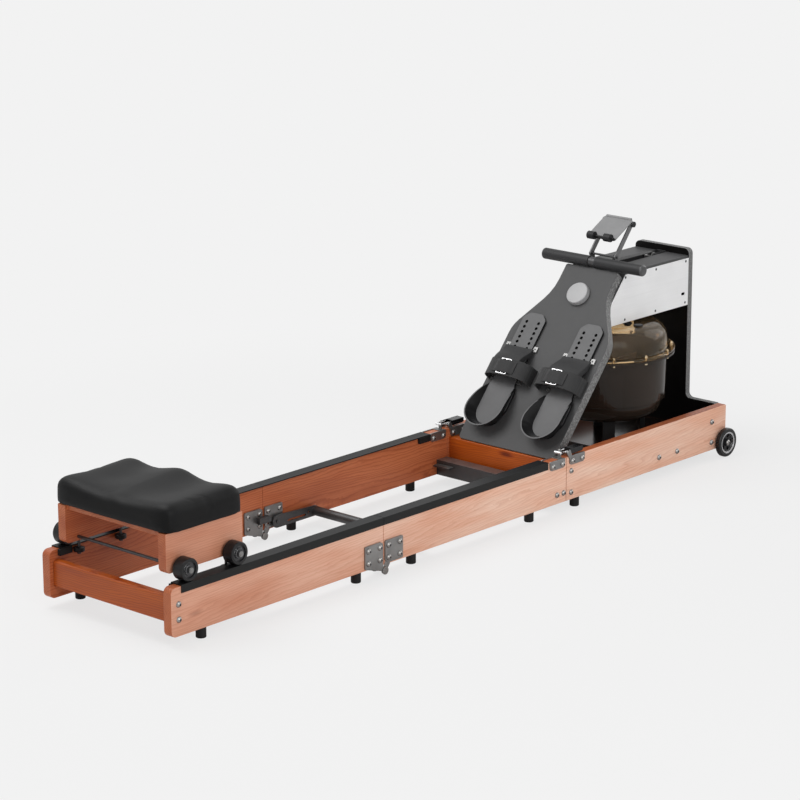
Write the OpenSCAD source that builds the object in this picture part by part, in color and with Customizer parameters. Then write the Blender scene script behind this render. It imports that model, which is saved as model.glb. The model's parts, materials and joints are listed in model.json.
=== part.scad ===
// Folding water rowing machine with a wooden three-part rail frame.
// Lengths are millimetres. X runs from the seat end to the tank end, Z is up,
// Y is across the machine, and the floor is at Z = 0.

/* [Rails] */
// Length of the rails, all three sections together
rail_len = 2144; // [2000:1:2300]
// Length of the rear section
rear_len = 719.4; // [640:0.1:760]
// Length of the middle section
middle_len = 714; // [700:1:780]
// Width over the two rails
frame_w = 442.6; // [420:0.1:480]
// Height of a rail
rail_h = 120; // [105:1:140]
// Thickness of a rail
rail_t = 25.6; // [20:0.1:30]
// Gap at a seam between two sections
seam = 0.6; // [0.4:0.1:1.2]
// Radius on the rails' end corners
rail_end_r = 15; // [4:1:25]
// Height of the rubber feet, which is the rails' height off the floor
foot_h = 26; // [24:1:34]
// Diameter of the rubber feet
foot_d = 25.4; // [16:0.1:25.6]
// Thickness of the wooden cross boards
board_t = 25.6; // [18:0.1:28]

/* [Track] */
// Thickness of the steel track
track_t = 3; // [2:0.1:4]
// How far the track hangs over the rail's inner face
track_lip = 7.7; // [6:0.1:9]
// Height of the track's outer flange
track_flange = 20; // [12:1:26]
// Distance from the rails' end to the track's start
track_start = 32; // [20:1:40]
// Distance from the rails' end to the track's end
track_end = 1357; // [1300:1:1360]

/* [Seat] */
// Length of the seat along the rails
seat_len = 254; // [240:1:280]
// Width of the seat
seat_w = 369.2; // [340:0.1:370]
// Distance from the rails' end to the seat's rear edge, when parked
seat_x = 16; // [10:1:24]
// Height of the cushion at its sides
cushion_h = 66; // [50:1:80]
// How far the cushion hangs over the seat's side boards
cushion_over_y = 18; // [4:1:22]
// How far the cushion hangs over the seat's front and rear
cushion_over_x = 4; // [0:1:8]
// Radius of the cushion's corners seen from above
cushion_corner = 38; // [20:1:60]
// Height of the seat's side boards
seat_board_h = 97; // [85:1:110]
// Radius of the seat rollers
roller_r = 28; // [24:0.5:30]
// Width of the seat rollers
roller_w = 32; // [26:1:34]
// Distance between the two roller axles
axle_span = 161; // [140:1:175]
// Diameter of the seat axles
axle_d = 8; // [6:0.1:10]
// Radius of the guide rollers
guide_r = 14; // [11:0.1:15]
// Free travel of the seat
seat_travel = 1080; // [900:1:1085]

/* [Fold hinge] */
// Height of the fold pin above the floor
fold_pin_z = 12.8; // [12:0.1:12.9]
// Diameter of the fold pin
fold_pin_d = 8; // [6:0.1:9]
// Thickness of the hinge plates
plate_t = 4.5; // [3:0.1:5]
// Height of the hinge plates
hinge_plate_h = 58; // [50:1:64]
// Width of the hinge plates
hinge_plate_w = 65; // [60:1:68]
// Diameter of the bolt heads
bolt_d = 16; // [12:0.1:17]
// Height of the bolt heads
bolt_h = 6; // [4:0.1:7]

/* [Release lever] */
// Diameter of the lever's cross tube
lever_tube_d = 25; // [18:0.1:28]
// Length of the lever's arms between pivot and tube
lever_len = 139; // [110:1:150]
// Thickness of the lever's arms
lever_t = 4; // [3:0.1:5]

/* [Front joint latches] */
// Distance from seam to the nearest plate edge
latch_gap = 10; // [8:0.5:12]
// Length of a latch plate
latch_plate_len = 62; // [54:1:66]
// Height of the lever pin above the rail
latch_pin_h = 10; // [9.5:0.1:12]
// Length of the latch lever
latch_len = 62; // [50:1:70]
// Diameter of the bail wire
bail_d = 3; // [2.5:0.1:3.2]

/* [Footboard] */
// Angle of the footboard from the floor
board_angle = 49.78; // [47:0.01:52]
// Length of the footboard along its slope
board_len = 569; // [540:1:575]
// Thickness of the footboard
footboard_t = 27; // [22:1:29]
// Half width of the footboard at the feet
board_half = 168.5; // [160:0.5:172]
// Half width of the footboard's neck
neck_half = 89.5; // [80:0.5:92]
// Distance from the front seam to the footboard's lower edge
board_x = 9.4; // [8:0.1:14]
// Height of the footboard's lower edge
board_z = 126; // [124:1:134]
// Diameter of the round disc on the footboard
disc_d = 65; // [50:1:75]
// Height of the round disc
disc_h = 14; // [8:1:18]

/* [Footrests] */
// Distance of each footrest from the middle
foot_y = 99.8; // [96:0.1:104]
// Half width of a footrest's slotted plate
foot_half = 39.2; // [34:0.1:42]
// Place of the footrest's top end along the board
foot_top = 401; // [380:1:405]
// Place of the heel along the board
heel_s = 47; // [42:1:60]
// Height of the heel cup
heel_h = 40; // [30:1:46]
// Thickness of the footrest's plate
sole_t = 7; // [5:0.5:8]
// Distance between the footrest's holes
hole_pitch = 15.8; // [13:0.1:17]
// Adjustment travel of a footrest
foot_travel = 63; // [40:1:64]
// Height of the strap's arch above the board
strap_rise = 47; // [44:1:60]
// Width of the foot straps
strap_w = 50; // [40:1:56]

/* [Upright and housing] */
// Thickness of the upright board
upright_t = 19; // [15:1:22]
// Distance from the rails' front end to the base board's rear edge
base_back = 376; // [350:1:400]
// Height of the upright's top above the floor
upright_top = 575.6; // [565:0.1:600]
// Half width of the upright and the housing
tower_half = 94; // [90:1:100]
// Height of the housing's lower edge above the floor
housing_z = 416; // [414:1:425]
// Height of the housing's side panels
housing_h = 134; // [125:1:138]
// Thickness of the housing's side panels
panel_t = 2; // [1.5:0.1:3]
// Thickness of the housing's boards
deck_t = 18; // [14:1:20]
// Half width of the slot for the strap
slot_half = 18; // [17:0.5:22]

/* [Tank] */
// Distance from the rails' front end to the tank's axis
tank_back = 269.3; // [266:0.1:275]
// Radius of the tank's wall
tank_r = 171; // [160:0.5:173]
// Radius of the tank's flange
flange_r = 192; // [188:0.5:193]
// Radius of the circle of flange bolts
flange_pcd_r = 183; // [181:0.5:184]
// Height of the tank's parting line above the floor
flange_z = 326; // [315:1:330]
// Height of the tank's top above the floor
tank_top = 405; // [395:1:408]
// Height of the tank's bottom above the floor
tank_bottom = 143; // [140:1:150]
// Thickness of the tank's wall
wall = 4; // [3:0.1:5]
// Number of flange bolts
flange_bolts = 12; // [8:1:14]
// Number of paddle blades
blades = 6; // [3:1:8]
// Radius of the paddle shaft
shaft_r = 8; // [6:0.5:9]

/* [Handle and strap] */
// Length of the handle
handle_len = 346; // [320:1:420]
// Radius of the handle's grips
grip_r = 15.5; // [13:0.1:17]
// Width of the pull strap
pull_w = 20; // [14:0.5:22]
// Thickness of the pull strap
pull_t = 1.2; // [1:0.1:1.6]
// Radius of the strap roller
belt_roller_r = 12.5; // [10:0.1:14]
// Radius of the strap drum
drum_r = 40; // [34:1:41]

/* [Phone holder] */
// Half distance between the holder's arms
arm_y = 43; // [40:1:46]
// Width of the phone plate
phone_w = 97; // [94:1:110]
// Length of the phone plate
phone_len = 93; // [80:1:100]

/* [Transport wheels] */
// Radius of the transport wheels
wheel_r = 41; // [36:0.5:42]
// Width of the transport wheels
wheel_w = 16; // [12:0.5:20]
// Distance from the rails' front end to the wheel axle
wheel_back = 14; // [12:0.5:20]

/* [Hidden] */

$fn = 48;
running = 0.05;
seat_gap = 0.3;
part_gap = 0.3;
wood = [0.66, 0.33, 0.18];
steel = [0.62, 0.63, 0.65];
bright = [0.82, 0.83, 0.85];
black = [0.09, 0.09, 0.1];
rubber = [0.07, 0.07, 0.07];
dark_board = [0.22, 0.22, 0.23];
light_grey = [0.6, 0.6, 0.6];
amber = [0.72, 0.5, 0.25, 0.45];

// Places along the rails
hinge_x = rear_len + seam;
middle_end = hinge_x + middle_len;
joint_x = middle_end + seam;
wheel_x = rail_len - wheel_back;
origin_x = (wheel_x + wheel_r) / 2;

// Places across the machine and heights
rail_out = frame_w / 2;
rail_in = rail_out - rail_t;
rail_z = foot_h;
rail_top = rail_z + rail_h;
track_top = rail_top + track_t;
lip_y = rail_in - track_lip;

// Shared shapes

// Points on a rounded outline; each corner is [x, y, radius]
function arc_steps(turn) = max(2, ceil(abs(turn) / 15));
function corner(a, p, b) =
    let (
        to_a = [a[0] - p[0], a[1] - p[1]] / norm([a[0] - p[0], a[1] - p[1]]),
        to_b = [b[0] - p[0], b[1] - p[1]] / norm([b[0] - p[0], b[1] - p[1]]),
        inside = acos(max(-1, min(1, to_a * to_b))),
        side = sign(to_a[0] * to_b[1] - to_a[1] * to_b[0]),
        bisector = (to_a + to_b) / norm(to_a + to_b),
        centre = [p[0], p[1]] + bisector * p[2] / sin(inside / 2),
        start = [p[0], p[1]] + to_a * p[2] / tan(inside / 2) - centre,
        turn = -side * (180 - inside),
        steps = arc_steps(turn)
    )
    p[2] == 0 ? [[p[0], p[1]]] :
    [for (i = [0:steps])
        let (t = turn * i / steps)
        centre + [start[0] * cos(t) - start[1] * sin(t), start[0] * sin(t) + start[1] * cos(t)]];
function rounded(points) =
    let (n = len(points))
    [for (i = [0:n - 1]) each corner(points[(i + n - 1) % n], points[i], points[(i + 1) % n])];

// A plate in the XZ plane, from y to y + thick
module side_plate(y, thick) {
    translate([0, y + thick, 0])
        rotate([90, 0, 0])
            linear_extrude(thick)
                children();
}

// Outline of two round ends joined by straight sides
link_steps = 14;
module link_outline(from, from_r, to, to_r) {
    span = to - from;
    along = atan2(span[1], span[0]);
    lean = acos((from_r - to_r) / norm(span));
    function arc(centre, r, start, turn) =
        [for (i = [0:link_steps])
            let (angle = along + start + turn * i / link_steps)
            centre + r * [cos(angle), sin(angle)]];
    polygon(concat(arc(from, from_r, lean, 360 - 2 * lean), arc(to, to_r, -lean, 2 * lean)));
}

// A round bar along Y
module bar_y(x, z, r, y0, y1) {
    translate([x, y1, z])
        rotate([90, 0, 0])
            cylinder(r = r, h = y1 - y0);
}

module box(x0, x1, y0, y1, z0, z1) {
    translate([x0, y0, z0])
        cube([x1 - x0, y1 - y0, z1 - z0]);
}

// The far side's copy and the near side's copy of what is drawn at +Y
module both_sides() {
    children();
    mirror([0, 1, 0])
        children();
}

module one_side(side) {
    mirror([0, side == "left" ? 0 : 1, 0])
        children();
}

module place() {
    translate([-origin_x, 0, 0])
        children();
}

// Dome-headed bolt whose head stands on the plane y, facing out along +Y or -Y
module dome_bolt(x, y, z, out = 1, d = bolt_d, h = bolt_h) {
    sphere_r = (d * d / 4 + h * h) / (2 * h);
    translate([x, y, z])
        rotate([-90 * out, 0, 0])
            rotate_extrude()
                intersection() {
                    translate([0, h - sphere_r])
                        circle(sphere_r);
                    square([d / 2, h]);
                }
}

// Rails and tracks

module rail(x0, x1, rear_r, front_r) {
    side_plate(rail_in, rail_t)
        polygon(rounded([
            [x0, rail_z, rear_r], [x1, rail_z, front_r],
            [x1, rail_top, front_r], [x0, rail_top, rear_r]
        ]));
}

module rail_pair(x0, x1, rear_r = 0, front_r = 0) {
    color(wood)
        both_sides()
            rail(x0, x1, rear_r, front_r);
}

track_out = 2;
module track_pair(x0, x1) {
    color(black)
        both_sides()
            difference() {
                box(x0, x1, lip_y, rail_out + track_out, track_top - track_flange, track_top);
                box(x0 - 1, x1 + 1, lip_y - 1, rail_out, rail_z, rail_top);
            }
}

// A cross board between the rails
module cross_board(x0, x1, z0, z1, edge_r) {
    color(wood)
        translate([0, rail_in, 0])
            rotate([90, 0, 0])
                linear_extrude(2 * rail_in)
                    polygon(rounded([[x0, z0, 0], [x1, z0, 0], [x1, z1, edge_r], [x0, z1, edge_r]]));
}

rear_beam_x = 11;
rear_beam_z = rail_z + 32;
rear_beam_h = 63;
module rear_crossbeam() {
    cross_board(rear_beam_x, rear_beam_x + board_t, rear_beam_z, rear_beam_z + rear_beam_h, 6);
}

front_beam_x = joint_x + 7;
front_beam_z = rail_z + 4;
front_beam_h = 92;
module front_crossbeam() {
    cross_board(front_beam_x, front_beam_x + board_t, front_beam_z, front_beam_z + front_beam_h, 2);
}

// Feet, seat stops and cross channel

rear_foot_x = [105, hinge_x - 87];
frame_foot_x = [hinge_x + 115, track_end - 61, track_end + 128];
foot_inset = rail_t / 2;
module foot(x) {
    translate([x, rail_out - foot_inset, 0])
        rotate_extrude()
            polygon([[0, 0], [foot_d / 2 - 1.5, 0], [foot_d / 2, 1.5], [foot_d / 2, foot_h], [0, foot_h]]);
}

stop_h = 16;
stop_t = 9;
module seat_stop(x0, x1) {
    box(x0, x1, rail_in - stop_t, rail_in, rail_top - stop_h, rail_top);
}

guide_x = seat_x + 66;
guide_span = 135;
guide_bolt_r = 2.6;
guide_h = 10;
guide_drop = 5;
guide_z = rail_top - guide_drop - guide_h;
guide_y = rail_in - part_gap - guide_r;
stop_gap = 2;
rear_stop_x = guide_x - guide_r - stop_gap;
front_stop_x = guide_x + guide_span + guide_r + seat_travel + stop_gap;
stop_len = 40;
module rear_feet_and_stops() {
    color(rubber)
        both_sides() {
            for (x = rear_foot_x)
                foot(x);
            seat_stop(rear_stop_x - stop_len, rear_stop_x);
        }
}

module frame_feet_and_stops() {
    color(rubber)
        both_sides() {
            for (x = frame_foot_x)
                foot(x);
            seat_stop(front_stop_x, track_end);
        }
}

// Folded steel channel under the end of the middle section, with two hooked tongues
channel_w = 40;
channel_h = 42;
channel_t = 3;
channel_x = middle_end - 4 - channel_w;
channel_z = rail_z + 1;
tongue_y = 162;
tongue_w = 56;
tongue_reach = 20;
tongue_t = 4;
module cross_channel() {
    color(steel)
        difference() {
            union() {
                difference() {
                    box(channel_x, channel_x + channel_w, -rail_in, rail_in, channel_z, channel_z + channel_h);
                    box(channel_x + channel_t, channel_x + channel_w - channel_t,
                        -rail_in + channel_t, rail_in - channel_t, channel_z - 1, channel_z + channel_h - channel_t);
                }
                for (y = [-tongue_y, tongue_y])
                    box(channel_x - tongue_reach, channel_x + 1, y - tongue_w / 2, y + tongue_w / 2,
                        channel_z + channel_h - tongue_t - 10, channel_z + channel_h - 10);
            }
            for (y = [-tongue_y, tongue_y])
                translate([channel_x - tongue_reach / 2, y, channel_z])
                    cylinder(r = 3, h = channel_h);
        }
}

// Fold hinge

plate_gap = 8;
rear_plate_x1 = hinge_x - 6;
rear_plate_x0 = rear_plate_x1 - hinge_plate_w;
middle_plate_x0 = rear_plate_x1 + plate_gap;
middle_plate_x1 = middle_plate_x0 + hinge_plate_w;
plate_z0 = rail_z + 5;
plate_z1 = plate_z0 + hinge_plate_h;
bolt_hole_r = 3.2;
ear_r = 9;
boss_r = 10;
boss_h = 3;
lap = plate_t / 2;
plate_bolt_inset = 12;
plate_bolt_z = [rail_z + 18, rail_z + 50];
rear_plate_bolts = [rear_plate_x0 + plate_bolt_inset, rear_plate_x1 - plate_bolt_inset];
middle_plate_bolts = [middle_plate_x0 + plate_bolt_inset, middle_plate_x1 - plate_bolt_inset];

// Plate outline on the rear side of the pin, with its ear left out
module rear_plate_outline() {
    difference() {
        polygon(rounded([
            [rear_plate_x0, plate_z0, 4], [hinge_x - ear_r - 3, fold_pin_z + 1, 0],
            [rear_plate_x1, fold_pin_z + ear_r, 0],
            [rear_plate_x1, plate_z1 - 6, 3], [rear_plate_x1 - 8, plate_z1, 3],
            [rear_plate_x0, plate_z1, 4]
        ]));
        translate([hinge_x, fold_pin_z])
            circle(ear_r + part_gap);
    }
}

module ear_outline(hole_r) {
    difference() {
        translate([hinge_x, fold_pin_z])
            circle(ear_r);
        translate([hinge_x, fold_pin_z])
            circle(hole_r);
    }
}

// Neck that ties an ear to its plate, in the ear's half of the thickness
module ear_neck(direction) {
    difference() {
        polygon([
            [hinge_x - direction * 3, fold_pin_z + 7], [hinge_x + direction * 8, fold_pin_z - 4],
            [hinge_x + direction * 22, fold_pin_z + 14], [hinge_x + direction * 8, fold_pin_z + 30]
        ]);
        translate([hinge_x, fold_pin_z])
            circle(ear_r - 0.5);
    }
}

// One hinge plate; y is its face on the rail and out is the way it stands off
module rear_plate(y, out) {
    y0 = out > 0 ? y : y - plate_t;
    ear_y0 = out > 0 ? y + lap + part_gap / 2 : y - plate_t;
    difference() {
        union() {
            side_plate(y0, plate_t)
                rear_plate_outline();
            side_plate(ear_y0, lap - part_gap / 2) {
                ear_outline(fold_pin_d / 2 + running);
                intersection() {
                    ear_neck(-1);
                    translate([rear_plate_x0, 0])
                        square([rear_plate_x1 - rear_plate_x0, plate_z1]);
                }
            }
        }
        for (x = rear_plate_bolts, z = plate_bolt_z)
            bar_y(x, z, bolt_hole_r, y0 - 1, y0 + plate_t + 1);
    }
}

module rear_hinge_plates() {
    color(steel)
        both_sides() {
            rear_plate(rail_out, 1);
            rear_plate(rail_in, -1);
            catch_block();
        }
}

// Catch block on the inner rear plate, between its bolts, that reaches over the seam
catch_t = 14;
catch_half = 8;
catch_x0 = hinge_x - 30;
catch_x1 = hinge_x + 12;
module catch_block() {
    inner_face = rail_in - plate_t;
    mid_z = (plate_bolt_z[0] + plate_bolt_z[1]) / 2;
    side_plate(inner_face - catch_t, catch_t - part_gap)
        polygon(rounded([
            [catch_x0, mid_z - catch_half, 2], [catch_x1, mid_z - catch_half, 3],
            [catch_x1, mid_z + catch_half, 5], [catch_x0, mid_z + catch_half, 2]
        ]));
    box(catch_x0 + 2, rear_plate_x1 - 1, inner_face - 1, inner_face, mid_z - 6, mid_z + 6);
}

module middle_plate(y, out) {
    y0 = out > 0 ? y : y - plate_t;
    ear_y0 = out > 0 ? y + part_gap : y - lap + part_gap / 2;
    difference() {
        union() {
            side_plate(y0, plate_t)
                difference() {
                    polygon(rounded([
                        [middle_plate_x0, plate_z0 + 8, 0], [middle_plate_x0 + 10, plate_z0, 2],
                        [middle_plate_x1, plate_z0, 4], [middle_plate_x1, plate_z1, 4],
                        [middle_plate_x0, plate_z1, 4]
                    ]));
                    translate([hinge_x, fold_pin_z])
                        circle(ear_r + part_gap);
                }
            side_plate(ear_y0, lap - part_gap * 1.5) {
                ear_outline(fold_pin_d / 2);
                intersection() {
                    ear_neck(1);
                    translate([hinge_x - 3, 0])
                        square([hinge_plate_w, plate_z1]);
                }
            }
        }
        for (x = middle_plate_bolts, z = plate_bolt_z)
            bar_y(x, z, bolt_hole_r, y0 - 1, y0 + plate_t + 1);
    }
}

module middle_hinge_plates() {
    color(steel)
        both_sides() {
            middle_plate(rail_out, 1);
            middle_plate(rail_in, -1);
            bar_y(lever_x, lever_z, lever_pin_r, lever_y - lever_t - 3, rail_in - plate_t);
            bar_y(lever_x, lever_z, lever_pin_r + 4, lever_y + part_gap, rail_in - plate_t);
        }
}

module hinge_pins() {
    color(bright)
        both_sides() {
            bar_y(hinge_x, fold_pin_z, fold_pin_d / 2, rail_in - plate_t, rail_out + plate_t);
            bar_y(hinge_x, fold_pin_z, boss_r, rail_out + plate_t, rail_out + plate_t + boss_h);
            bar_y(hinge_x, fold_pin_z, boss_r, rail_in - plate_t - boss_h, rail_in - plate_t);
        }
}

// Release lever: two slotted arms welded to a cross tube
lever_x = hinge_x + 38;
lever_z = rail_z + 19;
lever_pin_r = 5;
lever_y = rail_in - plate_t - bolt_h;
lever_nose_r = 17;
lever_end_r = 14;
lever_end = [lever_x + lever_len, lever_z - 3];
module release_lever() {
    tube_y = lever_y - lever_t;
    color(steel) {
        both_sides()
            side_plate(lever_y - lever_t, lever_t)
                difference() {
                    link_outline([lever_x, lever_z], lever_nose_r, lever_end, lever_end_r);
                    translate([lever_x, lever_z])
                        circle(lever_pin_r + running);
                    link_outline([lever_x + 40, lever_z - 6], 3, [lever_x + 102, lever_z - 6], 3);
                    translate([lever_x + 116, lever_z - 1])
                        circle(3.5);
                }
        bar_y(lever_end[0], lever_end[1], lever_tube_d / 2, -tube_y - 1, tube_y + 1);
    }
}

// Bolts that show on the frame's outside

rear_beam_bolt_z = [rail_z + 41, rail_z + 78];
front_beam_bolt_z = [rail_z + 20, rail_z + 79];
end_board_bolt_z = [rail_z + 23, rail_z + 82];
end_board_bolt_x = rail_len - 66;
base_bolt_x = [rail_len - base_back + 69, rail_len - base_back + 151];
module rear_bolts() {
    color(bright)
        both_sides() {
            for (z = rear_beam_bolt_z)
                dome_bolt(rear_beam_x + board_t / 2, rail_out, z);
            for (x = rear_plate_bolts, z = plate_bolt_z) {
                dome_bolt(x, rail_out + plate_t, z);
                dome_bolt(x, rail_in - plate_t, z, -1, bolt_d - 2, bolt_h - 1);
            }
        }
}

module frame_bolts() {
    color(bright)
        both_sides() {
            for (x = middle_plate_bolts, z = plate_bolt_z)
                dome_bolt(x, rail_out + plate_t, z);
            for (x = middle_plate_bolts)
                dome_bolt(x, rail_in - plate_t, plate_bolt_z[1], -1, bolt_d - 2, bolt_h - 1);
            for (x = [channel_x + 6, channel_x + channel_w - 7])
                dome_bolt(x, rail_out, channel_z + 24);
            for (z = front_beam_bolt_z)
                dome_bolt(front_beam_x + board_t / 2, rail_out, z);
            for (x = latch_bolt_x) {
                dome_bolt(x, rail_out + latch_t, latch_bolt_z);
                dome_bolt(x, rail_in - latch_t, latch_bolt_z, -1, bolt_d - 2, bolt_h - 1);
            }
            for (x = base_bolt_x)
                dome_bolt(x, rail_out, base_z + base_t / 2);
            for (z = end_board_bolt_z)
                dome_bolt(end_board_bolt_x, rail_out, z);
            wheel_bolt();
        }
}

// Shoulder bolt that carries a transport wheel
wheel_y = rail_out + 4.7;
axle_r = 5;
module wheel_bolt() {
    bar_y(wheel_x, wheel_r, 9, rail_out, wheel_y - part_gap);
    bar_y(wheel_x, wheel_r, axle_r, wheel_y - part_gap, wheel_y + wheel_w + part_gap);
    dome_bolt(wheel_x, wheel_y + wheel_w + part_gap, wheel_r, 1, 16, 4);
}

// Seat

seat_z = track_top + seat_gap + roller_r;
board_bottom = seat_z - 10.3;
board_top_z = board_bottom + seat_board_h;
seat_out = seat_w / 2;
seat_in = seat_out - board_t;
seat_board_x0 = seat_x + 6;
seat_board_x1 = seat_x + seat_len;
axle_mid = seat_x + seat_len / 2 - 0.5;
axle_x = [axle_mid - axle_span / 2, axle_mid + axle_span / 2];
seat_deck_t = 12;
module seat_frame() {
    color(wood) {
        both_sides()
            difference() {
                side_plate(seat_in, board_t)
                    polygon(rounded([
                        [seat_board_x0, board_bottom, 14], [seat_board_x1, board_bottom, 14],
                        [seat_board_x1, board_top_z, 3], [seat_board_x0, board_top_z, 3]
                    ]));
                for (x = axle_x)
                    bar_y(x, seat_z, axle_d / 2, seat_in - 1, seat_out + 1);
            }
        box(seat_board_x0 + 8, seat_board_x1 - 8, -seat_in, seat_in, board_top_z - seat_deck_t, board_top_z);
    }
}

roller_y = seat_out + 5.4;
module seat_axles() {
    color(bright) {
        for (x = axle_x) {
            bar_y(x, seat_z, axle_d / 2, -roller_y - roller_w - 6, roller_y + roller_w + 6);
            both_sides() {
                bar_y(x, seat_z, 8, seat_out, roller_y - part_gap);
                bar_y(x, seat_z, 7, roller_y + roller_w + part_gap, roller_y + roller_w + 5);
            }
        }
        both_sides()
            for (x = [guide_x, guide_x + guide_span])
                translate([x, guide_y, guide_z - 6]) {
                    cylinder(r = guide_bolt_r, h = board_bottom - guide_z + 6);
                    cylinder(r = guide_bolt_r + 2.5, h = 6 - part_gap);
                    translate([0, 0, 6 + guide_h + part_gap])
                        cylinder(r = guide_bolt_r + 1, h = board_bottom - guide_z - guide_h - part_gap);
                }
    }
}

// A pair of wide rollers on one axle, with a recessed outer face
module seat_rollers(x) {
    color(black)
        both_sides()
            translate([x, roller_y, seat_z])
                rotate([-90, 0, 0])
                    rotate_extrude($fn = 64)
                        polygon([
                            [axle_d / 2 + running, 0], [roller_r - 3, 0], [roller_r, 3],
                            [roller_r, roller_w - 3], [roller_r - 2, roller_w], [roller_r - 8, roller_w],
                            [roller_r - 9, roller_w - 5], [14, roller_w - 5], [13, roller_w],
                            [axle_d / 2 + running, roller_w]
                        ]);
}

module guide_roller(x) {
    color(black)
        translate([x, guide_y, guide_z])
            rotate_extrude()
                polygon([
                    [guide_bolt_r + running, 0], [guide_r - 1, 0], [guide_r, 1],
                    [guide_r, guide_h - 1], [guide_r - 1, guide_h], [guide_bolt_r + running, guide_h]
                ]);
}

// Cushion: a closed grid whose height follows a formula
cushion_rows = 30;
cushion_cols = 34;
cushion_z = board_top_z + seat_gap;
function bump(u, centre, width) = exp(-pow((u - centre) / width, 2));
cushion_half_x = seat_len / 2 + cushion_over_x;
cushion_half_y = seat_out + cushion_over_y;
cushion_edge = 14;
// How far a corner of the square [-1, 1] is drawn in, to round it
function drawn_in(u, v) = cushion_corner * (1 - sqrt(0.5)) * pow(u * v, 8);
function dome(u, v) = pow(max(0, 1 - pow(abs(u), 9)), 0.26) * pow(max(0, 1 - pow(abs(v), 11)), 0.26);
// Raised corners, the rear edge's dip and its low ridge, the pommel, two thigh channels and two hollows
function relief(u, v) =
    5 * bump(abs(u), 0.9, 0.4) * bump(abs(v), 0.94, 0.26)
    - 17 * bump(u, -1, 0.6) * bump(v, 0, 0.55)
    + 4 * bump(u, -0.95, 0.35) * bump(v, -0.04, 0.12)
    + 10 * bump(u, 1, 0.75) * bump(v, 0, 0.2)
    - 8 * bump(u, 0.9, 0.65) * bump(abs(v), 0.48, 0.26)
    - 8 * bump(u, -0.15, 0.5) * bump(abs(v), 0.42, 0.32);
function cushion_top(u, v) = (cushion_h - cushion_edge) * (1 + relief(u, v) / cushion_h) * dome(u, v);
function grid(i, n) = let (t = 2 * i / n - 1) sin(90 * t) * 0.35 + t * 0.65;
function cushion_point(u, v, z) = [
    seat_x + seat_len / 2 + u * (cushion_half_x - drawn_in(u, v)),
    v * (cushion_half_y - drawn_in(u, v)),
    cushion_z + z
];
module seat_cushion() {
    rows = cushion_rows;
    cols = cushion_cols;
    across = cols + 1;
    count = (rows + 1) * across;
    top = [for (i = [0:rows], j = [0:cols])
        let (u = grid(i, rows), v = grid(j, cols))
        cushion_point(u, v, cushion_edge + cushion_top(u, v))];
    edge = concat(
        [for (j = [0:cols - 1]) [0, j]],
        [for (i = [0:rows - 1]) [i, cols]],
        [for (j = [cols:-1:1]) [rows, j]],
        [for (i = [rows:-1:1]) [i, 0]]
    );
    rim = [for (e = edge) e[0] * across + e[1]];
    base = [for (e = edge)
        let (u = grid(e[0], rows), v = grid(e[1], cols))
        cushion_point(u * 0.985, v * 0.99, 0)];
    m = len(edge);
    color([0.1, 0.1, 0.11])
        polyhedron(
            points = concat(top, base, [cushion_point(0, 0, 0)]),
            faces = concat(
                [for (i = [0:rows - 1], j = [0:cols - 1], k = [0, 1])
                    let (a = i * across + j, b = a + 1, c = a + across, d = c + 1)
                    k == 0 ? [a, b, d] : [a, d, c]],
                [for (k = [0:m - 1], s = [0, 1])
                    let (a = rim[k], b = rim[(k + 1) % m], c = count + k, d = count + (k + 1) % m)
                    s == 0 ? [a, c, b] : [b, c, d]],
                [for (k = [0:m - 1]) [count + m, count + (k + 1) % m, count + k]]
            ),
            convexity = 4
        );
}

// Front joint latches: a lever with a bail that hooks over a nib on the other section

latch_t = 4;
latch_z0 = front_beam_z + front_beam_h + 1;
latch_bolt_z = latch_z0 + 10;
latch_rear_x = joint_x - latch_gap - latch_plate_len;
latch_front_x = joint_x + latch_gap;
latch_bolt_x = [
    latch_rear_x + 11, latch_rear_x + latch_plate_len - 11,
    latch_front_x + 11, latch_front_x + latch_plate_len - 11
];
latch_pin = [joint_x + 7, rail_top + latch_pin_h];
latch_pin_r = 2.5;
latch_ear_r = 7.5;
latch_mid = (rail_in + rail_out) / 2;
lever_half = rail_t / 2 - 0.6;
bail_pivot = latch_pin + [7, 5.5];
bail_len = 35;
bail_bar_r = 3.5;
nib_x = bail_pivot[0] - bail_len + bail_bar_r + part_gap;
nib_t = 4;
module latch_plate(y, x0) {
    side_plate(y, latch_t)
        polygon(rounded([
            [x0, latch_z0, 9], [x0 + latch_plate_len, latch_z0, 9],
            [x0 + latch_plate_len, rail_top + 2, 3], [x0, rail_top + 2, 3]
        ]));
}

module latch_plates() {
    color(steel)
        both_sides() {
            for (y = [rail_out, rail_in - latch_t]) {
                latch_plate(y, latch_rear_x);
                side_plate(y, latch_t) {
                    polygon(rounded([
                        [latch_front_x, latch_z0, 9], [latch_front_x + latch_plate_len, latch_z0, 9],
                        [latch_front_x + latch_plate_len, rail_top + 2, 3],
                        [latch_front_x + 8, rail_top + 2, 0],
                        [latch_pin[0] + 6, latch_pin[1] + 4, 0], [latch_pin[0] - 6, latch_pin[1] - 4, 0],
                        [latch_front_x, rail_top - 6, 0]
                    ]));
                    translate(latch_pin)
                        circle(latch_ear_r);
                }
            }
            bar_y(latch_pin[0], latch_pin[1], latch_pin_r, rail_in - latch_t, rail_out + latch_t);
            box(nib_x - 14, nib_x + nib_t, rail_in - latch_t, rail_out + latch_t, rail_top, rail_top + 2);
            box(nib_x, nib_x + nib_t, latch_mid - 4.5, latch_mid + 4.5, rail_top, bail_pivot[1] + bail_bar_r + 1);
        }
}

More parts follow.
